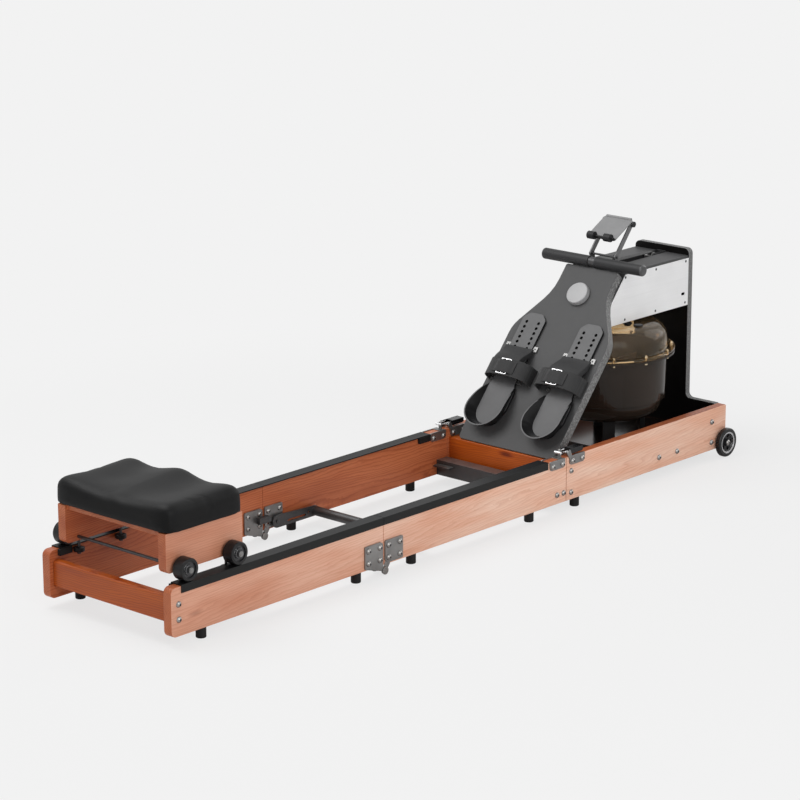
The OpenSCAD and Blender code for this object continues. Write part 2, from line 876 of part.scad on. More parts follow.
module latch_lever(side) {
    flange_t = 2;
    x1 = latch_pin[0] + latch_len;
    color(black)
        one_side(side) {
            for (y = [latch_mid - lever_half, latch_mid + lever_half - flange_t])
                side_plate(y, flange_t)
                    difference() {
                        union() {
                            polygon(rounded([
                                [latch_pin[0], latch_pin[1] - 5, 0], [x1, latch_pin[1] - 4, 3],
                                [x1, latch_pin[1] + 9, 3], [latch_pin[0] + 3, latch_pin[1] + 9, 3],
                                [latch_pin[0] - 4, latch_pin[1] + 4.5, 0]
                            ]));
                            translate(latch_pin)
                                circle(6);
                        }
                        translate(latch_pin)
                            circle(latch_pin_r + running);
                        translate(bail_pivot)
                            circle(bail_d / 2 + running);
                    }
            box(latch_pin[0] + 17, x1 - 2, latch_mid - lever_half + 1, latch_mid + lever_half - 1,
                latch_pin[1] + 7, latch_pin[1] + 9);
        }
}

module latch_bail(side) {
    wire = bail_d / 2;
    leg = lever_half - 2 - part_gap - wire;
    color(bright)
        one_side(side) {
            for (out = [-1, 1]) {
                translate([bail_pivot[0] - bail_len, latch_mid + out * leg, bail_pivot[1]])
                    rotate([0, 90, 0])
                        cylinder(r = wire, h = bail_len);
                translate([bail_pivot[0], latch_mid + out * leg, bail_pivot[1]])
                    sphere(wire);
                bar_y(bail_pivot[0], bail_pivot[1], wire,
                    latch_mid + (out > 0 ? leg : -leg - wire - part_gap - 2),
                    latch_mid + (out > 0 ? leg + wire + part_gap + 2 : -leg));
            }
            bar_y(bail_pivot[0] - bail_len, bail_pivot[1], bail_bar_r, latch_mid - leg - wire, latch_mid + leg + wire);
        }
}

// Transport wheels

module transport_wheel(side) {
    rim_r = wheel_r - 11;
    one_side(side)
        translate([wheel_x, wheel_y, wheel_r])
            rotate([-90, 0, 0]) {
                color(rubber)
                    rotate_extrude($fn = 72)
                        polygon(rounded([
                            [rim_r, 0, 0], [wheel_r, 0, 4], [wheel_r, wheel_w, 4], [rim_r, wheel_w, 0]
                        ]));
                color(light_grey)
                    difference() {
                        union() {
                            rotate_extrude($fn = 72)
                                polygon([
                                    [rim_r - 4, 1], [rim_r, 1], [rim_r, wheel_w - 1], [rim_r - 4, wheel_w - 1]
                                ]);
                            cylinder(r = rim_r - 3, h = wheel_w - 6);
                            cylinder(r = 11, h = wheel_w);
                        }
                        translate([0, 0, -1])
                            cylinder(r = axle_r + running, h = wheel_w + 2);
                        for (turn = [0:72:288])
                            rotate([0, 0, turn])
                                translate([18.5, 0, -1])
                                    cylinder(r = 5, h = wheel_w);
                    }
            }
}

// Front unit boards

base_z = rail_z + 20;
base_t = 24;
base_x0 = rail_len - base_back;
upright_x = rail_len - upright_t;
module base_board() {
    color(wood)
        box(base_x0, upright_x, -rail_in, rail_in, base_z, base_z + base_t);
}

module front_upright() {
    shoulder = rail_top + 1;
    color(dark_board)
        translate([upright_x, 0, 0])
            rotate([90, 0, 90])
                linear_extrude(upright_t)
                    polygon(rounded([
                        [-rail_in, rail_z + 4, 2], [rail_in, rail_z + 4, 2], [rail_in, shoulder, 3],
                        [tower_half, shoulder, 15], [tower_half, upright_top, 15],
                        [-tower_half, upright_top, 15], [-tower_half, shoulder, 15], [-rail_in, shoulder, 3]
                    ]));
}

// The footboard's own frame: X up the slope, Y across, Z off its face
module on_board() {
    translate([joint_x + board_x, 0, board_z])
        rotate([0, -board_angle, 0])
            children();
}

board_corner_s = 357;
neck_s = 482;
module footboard_outline() {
    half = [
        [0, board_half - 4, 12], [60, board_half, 0], [board_corner_s, board_half, 80],
        [neck_s, neck_half, 130], [board_len, neck_half, 6]
    ];
    polygon(rounded(concat(half, [for (i = [len(half) - 1:-1:0]) [half[i][0], -half[i][1], half[i][2]]])));
}

strap_slot = [[15, 183, 241], [160, 183, 241]];
slot_w = 3.6;
module footboard() {
    color(dark_board)
        difference() {
            on_board()
                translate([0, 0, -footboard_t])
                    difference() {
                        linear_extrude(footboard_t)
                            footboard_outline();
                        for (slot = strap_slot, side = [-1, 1])
                            translate([0, side * slot[0], -1])
                                linear_extrude(footboard_t + 2)
                                    link_outline([slot[1] + 4, 0], slot_w / 2, [slot[2] - 4, 0], slot_w / 2);
                    }
            box(joint_x, joint_x + 80, -rail_in, rail_in, rail_z, front_beam_z + front_beam_h);
        }
}

module foot_disc() {
    color(light_grey)
        on_board()
            translate([neck_s, 0, 0])
                rotate_extrude($fn = 72)
                    polygon(rounded([[0, 0, 0], [disc_d / 2, 0, 0], [disc_d / 2, disc_h, 3], [0, disc_h, 0]]));
}

// Footrests: a perforated plate that runs down into a sole and a flared heel cup

slide_gap = 0.3;
sole_half = 50;
hole_row = 20.9;
first_hole = foot_top - 108;
module sole_outline() {
    polygon(rounded([
        [heel_s + 6, -30, 24], [heel_s + 6, 30, 24], [heel_s + 55, sole_half, 30],
        [heel_s + 110, sole_half, 30], [heel_s + 135, foot_half, 12],
        [foot_top - 17, foot_half, 14], [foot_top, foot_half - 18, 14],
        [foot_top, -foot_half + 18, 14], [foot_top - 17, -foot_half, 14],
        [heel_s + 135, -foot_half, 12], [heel_s + 110, -sole_half, 30], [heel_s + 55, -sole_half, 30]
    ]));
}

// Heel cup wall: a U in plan whose wall leans out and falls away toward the toes
cup_steps = 36;
cup_len = 118;
cup_in = 40;
cup_t = 4;
cup_flare = 20;
// Place along the U, from -1 at one toe end over 0 at the heel to 1
function cup_height(t) = 6 + (heel_h - 6) * (1 - pow(abs(t), 3));
function cup_plan(t, r) =
    let (bend = 0.45, a = min(1, abs(t) / bend) * 90)
    abs(t) <= bend
        ? [heel_s + 4 + (cup_in + 4) - r * cos(a), sign(t) * r * sin(a)]
        : [heel_s + 4 + cup_in + 4 + (abs(t) - bend) / (1 - bend) * (cup_len - cup_in), sign(t) * r];
function cup_ring(t) =
    let (h = cup_height(t), lean = cup_flare * h / heel_h,
        a = cup_plan(t, cup_in), b = cup_plan(t, cup_in + lean),
        c = cup_plan(t, cup_in + lean + cup_t), d = cup_plan(t, cup_in + cup_t))
    [[a[0], a[1], slide_gap], [b[0], b[1], slide_gap + h],
     [c[0], c[1], slide_gap + h], [d[0], d[1], slide_gap]];
module heel_cup() {
    points = [for (i = [0:cup_steps]) each cup_ring(2 * i / cup_steps - 1)];
    last = 4 * cup_steps;
    polyhedron(
        points = points,
        faces = concat(
            [for (i = [0:cup_steps - 1], k = [0:3], s = [0, 1])
                let (a = 4 * i + k, b = 4 * i + (k + 1) % 4, c = a + 4, d = b + 4)
                s == 0 ? [a, b, c] : [b, d, c]],
            [[2, 1, 0], [3, 2, 0], [last, last + 1, last + 2], [last, last + 2, last + 3]]
        ),
        convexity = 6
    );
}

module footrest(side) {
    color([0.3, 0.3, 0.31])
        on_board()
            one_side(side)
                translate([0, foot_y, 0])
                    union() {
                        difference() {
                            translate([0, 0, slide_gap])
                                linear_extrude(sole_t)
                                    sole_outline();
                            for (i = [0:round(foot_travel / hole_pitch) + 1], row = [-hole_row, hole_row])
                                translate([first_hole + i * hole_pitch, row, 0])
                                    cylinder(r = 4.5, h = sole_t + 1);
                        }
                        heel_cup();
                    }
}

// Side tabs that hold the footrests down, and the wire buckles on the straps
tab_s = [296.5, 195];
tab_gap = 0.4;
tab_w = 15;
module footrest_hardware() {
    buckle_s = strap_s + strap_w / 2;
    strap_mid = (strap_slot[0][0] + strap_slot[1][0]) / 2;
    color(steel)
        on_board()
            both_sides()
                translate([0, foot_y, 0]) {
                    for (s = tab_s, out = [-1, 1])
                        difference() {
                            translate([s - 8, out > 0 ? foot_half + tab_gap : -foot_half - tab_gap - tab_w, 0])
                                cube([16, tab_w, 4]);
                            translate([s, out * (foot_half + tab_gap + tab_w / 2), -1])
                                cylinder(r = 2.2, h = 6);
                        }
                    translate([buckle_s, strap_mid - foot_y, strap_rise + strap_t / 2 + part_gap])
                        buckle();
                }
}

module buckle() {
    wire = 1.8;
    for (x = [-22, 22])
        translate([x, -16, wire])
            rotate([-90, 0, 0])
                cylinder(r = wire, h = 32);
    for (y = [-16, 0, 16])
        translate([-22, y, wire])
            rotate([0, 90, 0])
                cylinder(r = wire, h = 44);
}

// Foot straps: a band that rises from one slot, over the foot, and down the other
strap_t = 2.5;
strap_s = 187;
strap_steps = 24;
strap_depth = 14;
// Middle line of the band, from -1 at the inner slot to 1 at the outer one
function arch(t) =
    let (y0 = strap_slot[0][0] - foot_y, y1 = strap_slot[1][0] - foot_y, a = 90 * (1 + t))
    [(y0 + y1) / 2 - (y1 - y0) / 2 * sign(cos(a)) * pow(abs(cos(a)), 0.72),
     strap_rise * pow(sin(a), 0.62)];
module foot_straps() {
    line = [for (i = [0:strap_steps]) arch(2 * i / strap_steps - 1)];
    path = concat([line[0] - [0, strap_depth]], line, [line[strap_steps] - [0, strap_depth]]);
    n = len(path);
    function normal(i) =
        let (d = path[min(i + 1, n - 1)] - path[max(i - 1, 0)])
        [-d[1], d[0]] / norm(d);
    color(rubber)
        on_board()
            both_sides()
                translate([strap_s, foot_y, 0])
                    rotate([90, 0, 90])
                        linear_extrude(strap_w)
                            polygon(concat(
                                [for (i = [0:n - 1]) path[i] + normal(i) * strap_t / 2],
                                [for (i = [n - 1:-1:0]) path[i] - normal(i) * strap_t / 2]
                            ));
}

// Housing over the tank

function board_back_x(z) =
    joint_x + board_x + footboard_t * sin(board_angle)
    + (z - board_z + footboard_t * cos(board_angle)) / tan(board_angle);
housing_top_z = housing_z + housing_h;
deck_top = housing_top_z + 7;
screw_z = [housing_z + 9, housing_top_z - 7.5];
screw_x = [rail_len - 305.5, rail_len - 168, rail_len - 32];
module housing_sides() {
    color([0.85, 0.85, 0.86])
        both_sides()
            side_plate(tower_half - panel_t, panel_t)
                difference() {
                    polygon([
                        [board_back_x(housing_z) + 1, housing_z], [upright_x, housing_z],
                        [upright_x, housing_top_z], [board_back_x(housing_top_z) + 1, housing_top_z]
                    ]);
                    link_outline([rail_len - 46, housing_z + 35], 4, [rail_len - 38, housing_z + 35], 4);
                }
    color([0.2, 0.2, 0.2])
        both_sides()
            for (x = screw_x, z = screw_z)
                dome_bolt(max(x, board_back_x(z) + 8), tower_half, z, 1, 7, 1.5);
}

module deck_board(z0, z1, y0, y1) {
    translate([0, y1, 0])
        rotate([90, 0, 0])
            linear_extrude(y1 - y0)
                polygon([
                    [board_back_x(z0) + 1, z0], [upright_x, z0],
                    [upright_x, z1], [board_back_x(z1) + 1, z1]
                ]);
}

bush_r = 15;
module housing_boards() {
    half = tower_half - panel_t;
    color(dark_board) {
        both_sides()
            deck_board(deck_top - deck_t, deck_top, slot_half, half);
        difference() {
            deck_board(housing_z, housing_z + deck_t, -half, half);
            translate([tank_x, 0, housing_z - 1])
                cylinder(r = bush_r, h = deck_t + 2);
        }
    }
}

// Tank

tank_x = rail_len - tank_back;
gasket_t = 3;
flange_t = 6;
bowl_z = 192;
bowl_r = tank_r - 13;
shoulder_r = 47;
cap_places = [[-7, -81], [-8, -119]];
cap_r = 12;
module tank_upper() {
    z0 = flange_z + gasket_t / 2;
    color(amber)
        translate([tank_x, 0, 0])
            difference() {
                union() {
                    rotate_extrude($fn = 96)
                        difference() {
                            polygon(rounded([
                                [shaft_r + 4, z0, 0], [flange_r, z0, 1], [flange_r, z0 + flange_t, 1],
                                [tank_r, z0 + flange_t, 2], [tank_r, tank_top, shoulder_r],
                                [28, tank_top, 2], [26, tank_top + 8, 1], [shaft_r + 4, tank_top + 8, 0]
                            ]));
                            polygon(rounded([
                                [-1, z0 - 1, 0], [tank_r - wall, z0 - 1, 0],
                                [tank_r - wall, tank_top - wall, shoulder_r - wall], [-1, tank_top - wall, 0]
                            ]));
                        }
                }
                for (place = cap_places)
                    translate([place[0], place[1], tank_top - wall - 1])
                        cylinder(r = cap_r - 3, h = wall + 2);
                for (i = [0:flange_bolts - 1])
                    rotate([0, 0, 360 * (i + 0.5) / flange_bolts])
                        translate([flange_pcd_r, 0, z0 - 1])
                            cylinder(r = 3.2, h = flange_t + 2);
            }
}

module tank_lower() {
    z1 = flange_z - gasket_t / 2;
    color(amber)
        translate([tank_x, 0, 0])
            difference() {
                rotate_extrude($fn = 96)
                    difference() {
                        polygon(rounded([
                            [0, tank_bottom, 0], [bowl_r, tank_bottom, 40], [bowl_r, bowl_z, 0],
                            [tank_r - 3, bowl_z, 2], [tank_r, z1 - flange_t, 2],
                            [flange_r, z1 - flange_t, 1], [flange_r, z1, 1], [0, z1, 0]
                        ]));
                        polygon(rounded([
                            [-1, tank_bottom + wall + 12, 0], [shaft_r + 10, tank_bottom + wall + 12, 0],
                            [shaft_r + 12, tank_bottom + wall, 0],
                            [bowl_r - wall, tank_bottom + wall, 36], [bowl_r - wall, bowl_z + wall + 4, 0],
                            [tank_r - 3 - wall, bowl_z + wall + 8, 0],
                            [tank_r - wall, z1 - flange_t, 0], [tank_r - wall, z1 + 1, 0], [-1, z1 + 1, 0]
                        ]));
                    }
                translate([0, 0, tank_bottom + wall + 1])
                    cylinder(r = shaft_r + running, h = 20);
                for (i = [0:flange_bolts - 1])
                    rotate([0, 0, 360 * (i + 0.5) / flange_bolts])
                        translate([flange_pcd_r, 0, z1 - flange_t - 1])
                            cylinder(r = 3.2, h = flange_t + 2);
            }
}

module tank_gasket() {
    color(rubber)
        translate([tank_x, 0, flange_z - gasket_t / 2])
            difference() {
                cylinder(r = flange_pcd_r - 5, h = gasket_t);
                translate([0, 0, -1])
                    cylinder(r = tank_r - wall + 1, h = gasket_t + 2);
            }
}

module tank_bolts() {
    stack = gasket_t / 2 + flange_t;
    color(bright)
        translate([tank_x, 0, flange_z])
            for (i = [0:flange_bolts - 1])
                rotate([0, 0, 360 * (i + 0.5) / flange_bolts])
                    translate([flange_pcd_r, 0, 0]) {
                        translate([0, 0, -stack - 4])
                            cylinder(r = 3, h = 2 * stack + 11);
                        for (z = [-stack - 4.5, stack])
                            translate([0, 0, z])
                                cylinder(r = 5.5, h = 4.5, $fn = 6);
                    }
}

module filler_caps() {
    color(black)
        for (place = cap_places)
            translate([tank_x + place[0], place[1], tank_top]) {
                cylinder(r = cap_r, h = 5);
                translate([0, 0, -wall - 2])
                    cylinder(r = cap_r - 3.2, h = wall + 3);
            }
}

leg_ring = 105;
leg_angles = [45, 135, 225, 315];
leg_w = 34;
leg_t = 14;
module tank_legs() {
    color(rubber)
        translate([tank_x, 0, base_z + base_t])
            for (turn = leg_angles)
                rotate([0, 0, turn])
                    translate([leg_ring - leg_t / 2, -leg_w / 2, 0])
                        cube([leg_t, leg_w, tank_bottom - base_z - base_t]);
}

// Paddle: shaft, hub and curved-in blades
paddle_r = 140;
blade_z0 = tank_bottom + 26;
blade_h = 120;
module paddle() {
    color(steel)
        translate([tank_x, 0, 0]) {
            translate([0, 0, tank_bottom + wall + 2])
                cylinder(r = shaft_r, h = shaft_top - tank_bottom - wall - 2);
            translate([0, 0, blade_z0])
                cylinder(r = shaft_r + 10, h = blade_h);
            translate([0, 0, drum_z - part_gap - 5])
                cylinder(r = shaft_r + 6, h = 5);
            for (i = [0:blades - 1])
                rotate([0, 0, 360 * i / blades])
                    translate([shaft_r + 8, -1.5, blade_z0 + 6])
                        cube([paddle_r - shaft_r - 8, 3, blade_h - 12]);
        }
}

drum_h = 36;
drum_z = deck_top - deck_t - 1 - drum_h;
shaft_top = drum_z + drum_h;
module shaft_bearings() {
    color(bright)
        translate([tank_x, 0, 0]) {
            bush(tank_top - wall, shaft_r + 4, wall + 8);
            bush(housing_z, bush_r, deck_t);
            bush(housing_z + deck_t, bush_r + 6, 4);
        }
}

module bush(z, r, h) {
    translate([0, 0, z])
        difference() {
            cylinder(r = r, h = h);
            translate([0, 0, -1])
                cylinder(r = shaft_r + running, h = h + 2);
        }
}

// Strap drum with two flanges, turning on the paddle's shaft
module strap_drum() {
    color([0.25, 0.25, 0.26])
        translate([tank_x, 0, drum_z])
            rotate_extrude($fn = 72)
                polygon([
                    [shaft_r + running, 0], [drum_r + 5, 0], [drum_r + 5, 3], [drum_r, 3],
                    [drum_r, drum_h - 3], [drum_r + 5, drum_h - 3], [drum_r + 5, drum_h],
                    [shaft_r + running, drum_h]
                ]);
}

// Strap roller at the housing's front, in its bracket
belt_x = rail_len - 72;
belt_z = deck_top - 6.5;
belt_roller_w = 24;
pin_r = 3;
module belt_roller() {
    color(bright)
        translate([belt_x, belt_roller_w / 2, belt_z])
            rotate([90, 0, 0])
                rotate_extrude($fn = 60)
                    polygon(rounded([
                        [pin_r + running, 0, 0], [belt_roller_r, 0, 1],
                        [belt_roller_r, belt_roller_w, 1], [pin_r + running, belt_roller_w, 0]
                    ]));
}

cheek_t = 2.5;
module roller_bracket() {
    cheek_y = belt_roller_w / 2 + part_gap;
    color(steel) {
        both_sides()
            side_plate(cheek_y, cheek_t)
                link_outline([belt_x, belt_z], 9, [upright_x - 9, belt_z], 9);
        bar_y(belt_x, belt_z, pin_r, -cheek_y - cheek_t - 2, cheek_y + cheek_t + 2);
        box(upright_x - 3, upright_x, -cheek_y - cheek_t, cheek_y + cheek_t, belt_z - 12, belt_z + 9);
    }
}

// Inner run of the strap: a flat band that turns from lying to standing
twist_steps = 16;
module inner_strap() {
    meet = acos((drum_r + part_gap) / (belt_x - tank_x));
    side = [cos(meet), -sin(meet), 0];
    up = [0, 0, 1];
    from = [belt_x, 0, belt_z - belt_roller_r - part_gap];
    to = [tank_x, 0, drum_z + drum_h / 2] + side * (drum_r + part_gap);
    function across(t) = side * cos(90 * t) + up * sin(90 * t);
    function through(t) = up * cos(90 * t) - side * sin(90 * t);
    points = [for (i = [0:twist_steps])
        let (t = i / twist_steps, c = from + (to - from) * t - through(t) * pull_t / 2,
            a = across(t) * pull_w / 2, b = through(t) * pull_t / 2)
        each [c - a - b, c + a - b, c + a + b, c - a + b]];
    last = 4 * twist_steps;
    color(black)
        polyhedron(
            points = points,
            faces = concat(
                [for (i = [0:twist_steps - 1], k = [0:3], s = [0, 1])
                    let (a = 4 * i + k, b = 4 * i + (k + 1) % 4, c = a + 4, d = b + 4)
                    s == 0 ? [a, b, c] : [b, d, c]],
                [[2, 1, 0], [3, 2, 0], [last, last + 1, last + 2], [last, last + 2, last + 3]]
            )
        );
}

// Handle, resting on the footboard's top edge

board_tip = [
    joint_x + board_x + board_len * cos(board_angle),
    board_z + board_len * sin(board_angle)
];
handle_c = board_tip + [5, grip_r + part_gap];
core_r = 8;
pull_z = belt_z + belt_roller_r + part_gap;
clip_half = 11;
module handle_bar() {
    color(bright) {
        bar_y(handle_c[0], handle_c[1], core_r, -handle_len / 2 + 4, handle_len / 2 - 4);
        bar_y(handle_c[0], handle_c[1], grip_r - 2.5, -clip_half, clip_half);
        box(handle_c[0], handle_c[0] + grip_r + 6, -clip_half + 1, clip_half - 1, pull_z - 2.5, pull_z);
        box(handle_c[0], handle_c[0] + 8, -clip_half + 1, clip_half - 1, pull_z - 2.5, handle_c[1]);
    }
}

module handle_grips() {
    color([0.16, 0.16, 0.17])
        both_sides()
            translate([handle_c[0], clip_half + part_gap, handle_c[1]])
                rotate([-90, 0, 0])
                    rotate_extrude()
                        polygon(rounded([
                            [core_r, 0, 0], [grip_r, 0, 1],
                            [grip_r, handle_len / 2 - clip_half, 5], [0, handle_len / 2 - clip_half, 0],
                            [0, handle_len / 2 - clip_half - 4, 0], [core_r, handle_len / 2 - clip_half - 4, 0]
                        ]));
}

module handle_strap() {
    color(black)
        box(handle_c[0] + 9, belt_x, -pull_w / 2, pull_w / 2, pull_z, pull_z + pull_t);
}

// Phone holder

arm_foot = [rail_len - 284, deck_top + 31];
arm_head = [rail_len - 217, deck_top + 113];
arm_t = 4;
arm_r = 7.5;
arm_pin_r = 3;
phone_angle = 28.7;
module phone_bracket() {
    cheek_y = arm_y - arm_t / 2 - part_gap - 3;
    color(steel) {
        both_sides() {
            difference() {
                side_plate(cheek_y, 3)
                    polygon(rounded([
                        [arm_foot[0] - 16, deck_top, 0], [arm_foot[0] + 16, deck_top, 0],
                        [arm_foot[0] + 7, arm_foot[1] + 7, 6], [arm_foot[0] - 7, arm_foot[1] + 7, 6]
                    ]));
                bar_y(arm_foot[0], arm_foot[1], arm_pin_r, cheek_y - 1, cheek_y + 4);
            }
            box(arm_foot[0] - 16, arm_foot[0] + 16, slot_half + 1, cheek_y + 1, deck_top, deck_top + 3);
        }
        bar_y(arm_foot[0], arm_foot[1], arm_pin_r, -arm_y - 6, arm_y + 6);
    }
}

module phone_arms() {
    color([0.3, 0.3, 0.31]) {
        both_sides()
            side_plate(arm_y - arm_t / 2, arm_t)
                difference() {
                    link_outline(arm_foot, arm_r, arm_head, arm_r);
                    translate(arm_foot)
                        circle(arm_pin_r + running);
                }
        bar_y(arm_head[0], arm_head[1], arm_pin_r, -arm_y - 6, arm_y + 6);
        both_sides()
            bar_y(arm_head[0], arm_head[1], 8, arm_y + arm_t / 2, arm_y + arm_t / 2 + 8);
    }
}

// The plate's own frame: X down its slope from the pivot, Z off its face
module on_phone() {
    translate([arm_head[0], 0, arm_head[1]])
        rotate([0, 180 - phone_angle, 0])
            mirror([0, 0, 1])
                children();
}

phone_off = 8;
phone_t = 3;
pad_r = 11;
module phone_plate() {
    lug_y = arm_y - arm_t / 2 - part_gap - 4;
    color([0.3, 0.3, 0.31])
        on_phone() {
            translate([-6, -phone_w / 2, phone_off])
                linear_extrude(phone_t)
                    polygon(rounded([
                        [0, 0, 6], [phone_len, 0, 6], [phone_len, phone_w, 6], [0, phone_w, 6]
                    ]));
            both_sides()
                difference() {
                    translate([0, lug_y + 4, 0])
                        rotate([90, 0, 0])
                            linear_extrude(4) {
                                circle(7);
                                translate([-7, 0])
                                    square([14, phone_off + 1]);
                            }
                    translate([0, lug_y + 5, 0])
                        rotate([90, 0, 0])
                            cylinder(r = arm_pin_r + running, h = 6);
                }
            translate([-6, 0, phone_off + phone_t])
                rotate([90, 0, 0])
                    translate([0, 0, -phone_w / 2 + 6])
                        cylinder(r = 4, h = phone_w - 12);
        }
    color(rubber)
        on_phone()
            both_sides()
                translate([phone_len - 6, 39, phone_off + phone_t + 6])
                    rotate([90, 0, 0])
                        cylinder(r = pad_r, h = 22);
    color(steel)
        on_phone()
            translate([phone_len - 6, 45, phone_off + phone_t + 6])
                rotate([90, 0, 0])
                    cylinder(r = 2.5, h = 90);
}

place() rail_pair(0, rear_len, rail_end_r, 1);  // rear_rails
place() rear_crossbeam();
place() track_pair(track_start, rear_len);  // rear_tracks
place() rear_hinge_plates();
place() rear_feet_and_stops();
place() rear_bolts();
place() release_lever();
place() seat_cushion();
place() seat_frame();
place() seat_axles();
place() seat_rollers(axle_x[0]);  // rear_seat_rollers
place() seat_rollers(axle_x[1]);  // front_seat_rollers
place() one_side("left") guide_roller(guide_x);  // guide_roller_rear_left
place() one_side("right") guide_roller(guide_x);  // guide_roller_rear_right
place() one_side("left") guide_roller(guide_x + guide_span);  // guide_roller_front_left
place() one_side("right") guide_roller(guide_x + guide_span);  // guide_roller_front_right
place() rail_pair(hinge_x, middle_end, 1, 1);  // middle_rails
place() track_pair(hinge_x, track_end);  // middle_tracks
place() middle_hinge_plates();
place() hinge_pins();
place() frame_feet_and_stops();
place() cross_channel();
place() frame_bolts();
place() rail_pair(joint_x, rail_len, 1, 4);  // front_rails
place() front_crossbeam();
place() front_upright();
place() base_board();
place() tank_legs();
place() footboard();
place() foot_disc();
place() footrest_hardware();
place() foot_straps();
place() footrest("left");  // footrest_left
place() footrest("right");  // footrest_right
place() housing_sides();
place() housing_boards();
place() roller_bracket();
place() belt_roller();
place() strap_drum();
place() inner_strap();
place() shaft_bearings();
place() handle_bar();
place() handle_grips();
place() handle_strap();
place() phone_bracket();
place() phone_arms();
place() phone_plate();
place() latch_plates();
place() latch_lever("left");  // latch_lever_left
place() latch_lever("right");  // latch_lever_right
place() latch_bail("left");  // latch_bail_left
place() latch_bail("right");  // latch_bail_right
place() transport_wheel("left");  // transport_wheel_left
place() transport_wheel("right");  // transport_wheel_right
place() tank_upper();
place() tank_lower();
place() tank_gasket();
place() tank_bolts();
place() filler_caps();
place() paddle();
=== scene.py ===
"""Looks of a folding water rowing machine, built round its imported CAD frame."""

import json
import math

import bmesh
import bpy
import numpy as np
from mathutils import Matrix, Vector

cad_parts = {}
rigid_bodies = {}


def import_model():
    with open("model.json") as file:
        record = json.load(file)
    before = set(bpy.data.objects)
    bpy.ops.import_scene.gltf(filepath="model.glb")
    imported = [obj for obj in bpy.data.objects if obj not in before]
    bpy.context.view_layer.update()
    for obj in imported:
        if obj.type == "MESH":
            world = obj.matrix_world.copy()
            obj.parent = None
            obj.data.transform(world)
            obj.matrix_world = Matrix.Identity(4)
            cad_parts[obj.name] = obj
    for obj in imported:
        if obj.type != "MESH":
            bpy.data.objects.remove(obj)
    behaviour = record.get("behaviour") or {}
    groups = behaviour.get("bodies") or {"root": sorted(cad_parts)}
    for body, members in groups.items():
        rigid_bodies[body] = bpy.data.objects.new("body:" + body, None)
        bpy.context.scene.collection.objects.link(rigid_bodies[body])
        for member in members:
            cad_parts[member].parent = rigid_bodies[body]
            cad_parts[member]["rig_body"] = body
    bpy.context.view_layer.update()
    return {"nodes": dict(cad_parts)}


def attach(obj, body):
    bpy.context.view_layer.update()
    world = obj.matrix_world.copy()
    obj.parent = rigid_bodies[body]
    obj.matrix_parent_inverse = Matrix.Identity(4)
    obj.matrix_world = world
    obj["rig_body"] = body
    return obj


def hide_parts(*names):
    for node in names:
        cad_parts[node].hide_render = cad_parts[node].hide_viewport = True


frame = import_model()

# The machine's own millimetres start at the rails' seat end, the frame's metres at its middle
MIDDLE_X = 1085.5

# Camera, solved from the photograph
CAMERA_TURN = -47.853
CAMERA_RISE = 15.192
CAMERA_ROLL = -0.167
CAMERA_LENS = 132.48
CAMERA_AT = (-4370.8, -4884.8, 2322.3)

# Light
BACKGROUND = (0.888, 0.888, 0.888)
WORLD_STRENGTH = 0.42
LAMP_TARGET = (0, 0, 0.2)
# Each lamp: the way its light travels, its power in watts, its size and its distance in metres
LAMPS = {
    "key": ((15, -17, -44), 66.0, 2.2, 3.2),
    "fill": ((18, 46, -22), 52.0, 3.0, 4.0),
    "rim": ((-40, 12, -18), 18.0, 2.0, 3.5),
}

# Sizes of the machine that the looks follow, in millimetres and degrees
RAIL_OUT = 221.3
SEAT_OUT = 184.6
BOARD_ANGLE = 49.78
BOARD_START = (1444.0, 126.0)
FOOT_Y = 99.8
TANK_X = 1874.7
TANK_MIDDLE_Z = 270.0
WHEEL_AXLE = (2130.0, 41.0)
ROLLER_AXLES = (62.0, 223.0)
ROLLER_Z = 177.3

# Where one finish gives way to another on the same piece, in millimetres from the machine's
# middle (Y), its start (X), the footboard (OFF) or an axle (R and RING)
HINGE_INNER_Y = 190.0
AXLE_END_Y = 216.0
SCREW_Y = 94.05
GRIP_CAP_Y = 166.0
PHONE_KNOB_Y = 48.0
PHONE_REST_X = 1870.0
BUCKLE_OFF = 20.0
ROLLER_FACE_R = 20.0
ROLLER_RING = (12.5, 15.0)
WHEEL_RING = (25.5, 30.5)

# Points closer than WELD metres are one, faces that bend less than FLAT are merged, and edges
# that bend more than SHARP are eased or kept sharp; a face looks a way if its normal's share
# along it passes FACING
WELD = 0.00002
FLAT = math.radians(0.6)
SHARP = math.radians(35)
FACING = 0.9


def spot(x, y, z):
    """A point of the machine, from its own millimetres to the frame's metres."""
    return Vector((x - MIDDLE_X, y, z)) / 1000


def finished_mesh(name, mesh):
    """The mesh data made from a bmesh, which is then done with."""
    data = bpy.data.meshes.new(name)
    mesh.to_mesh(data)
    mesh.free()
    return data


def placed(name, data):
    """A new object of the scene, at its origin."""
    thing = bpy.data.objects.new(name, data)
    bpy.context.scene.collection.objects.link(thing)
    return thing


def on_board(along, y, off):
    """A point given along the footboard's slope, across it and off its face."""
    a = math.radians(BOARD_ANGLE)
    return spot(
        BOARD_START[0] + along * math.cos(a) - off * math.sin(a),
        y,
        BOARD_START[1] + along * math.sin(a) + off * math.cos(a),
    )


# Camera

def camera_axes():
    """The ways to the camera's right, upwards and back from the object."""
    turn, rise, roll = (math.radians(a) for a in (CAMERA_TURN, CAMERA_RISE, CAMERA_ROLL))
    back = Vector((math.sin(turn) * math.cos(rise), -math.cos(turn) * math.cos(rise), math.sin(rise)))
    level = Vector((math.cos(turn), math.sin(turn), 0))
    upright = back.cross(level)
    right = level * math.cos(roll) + upright * math.sin(roll)
    up = upright * math.cos(roll) - level * math.sin(roll)
    return right, up, back


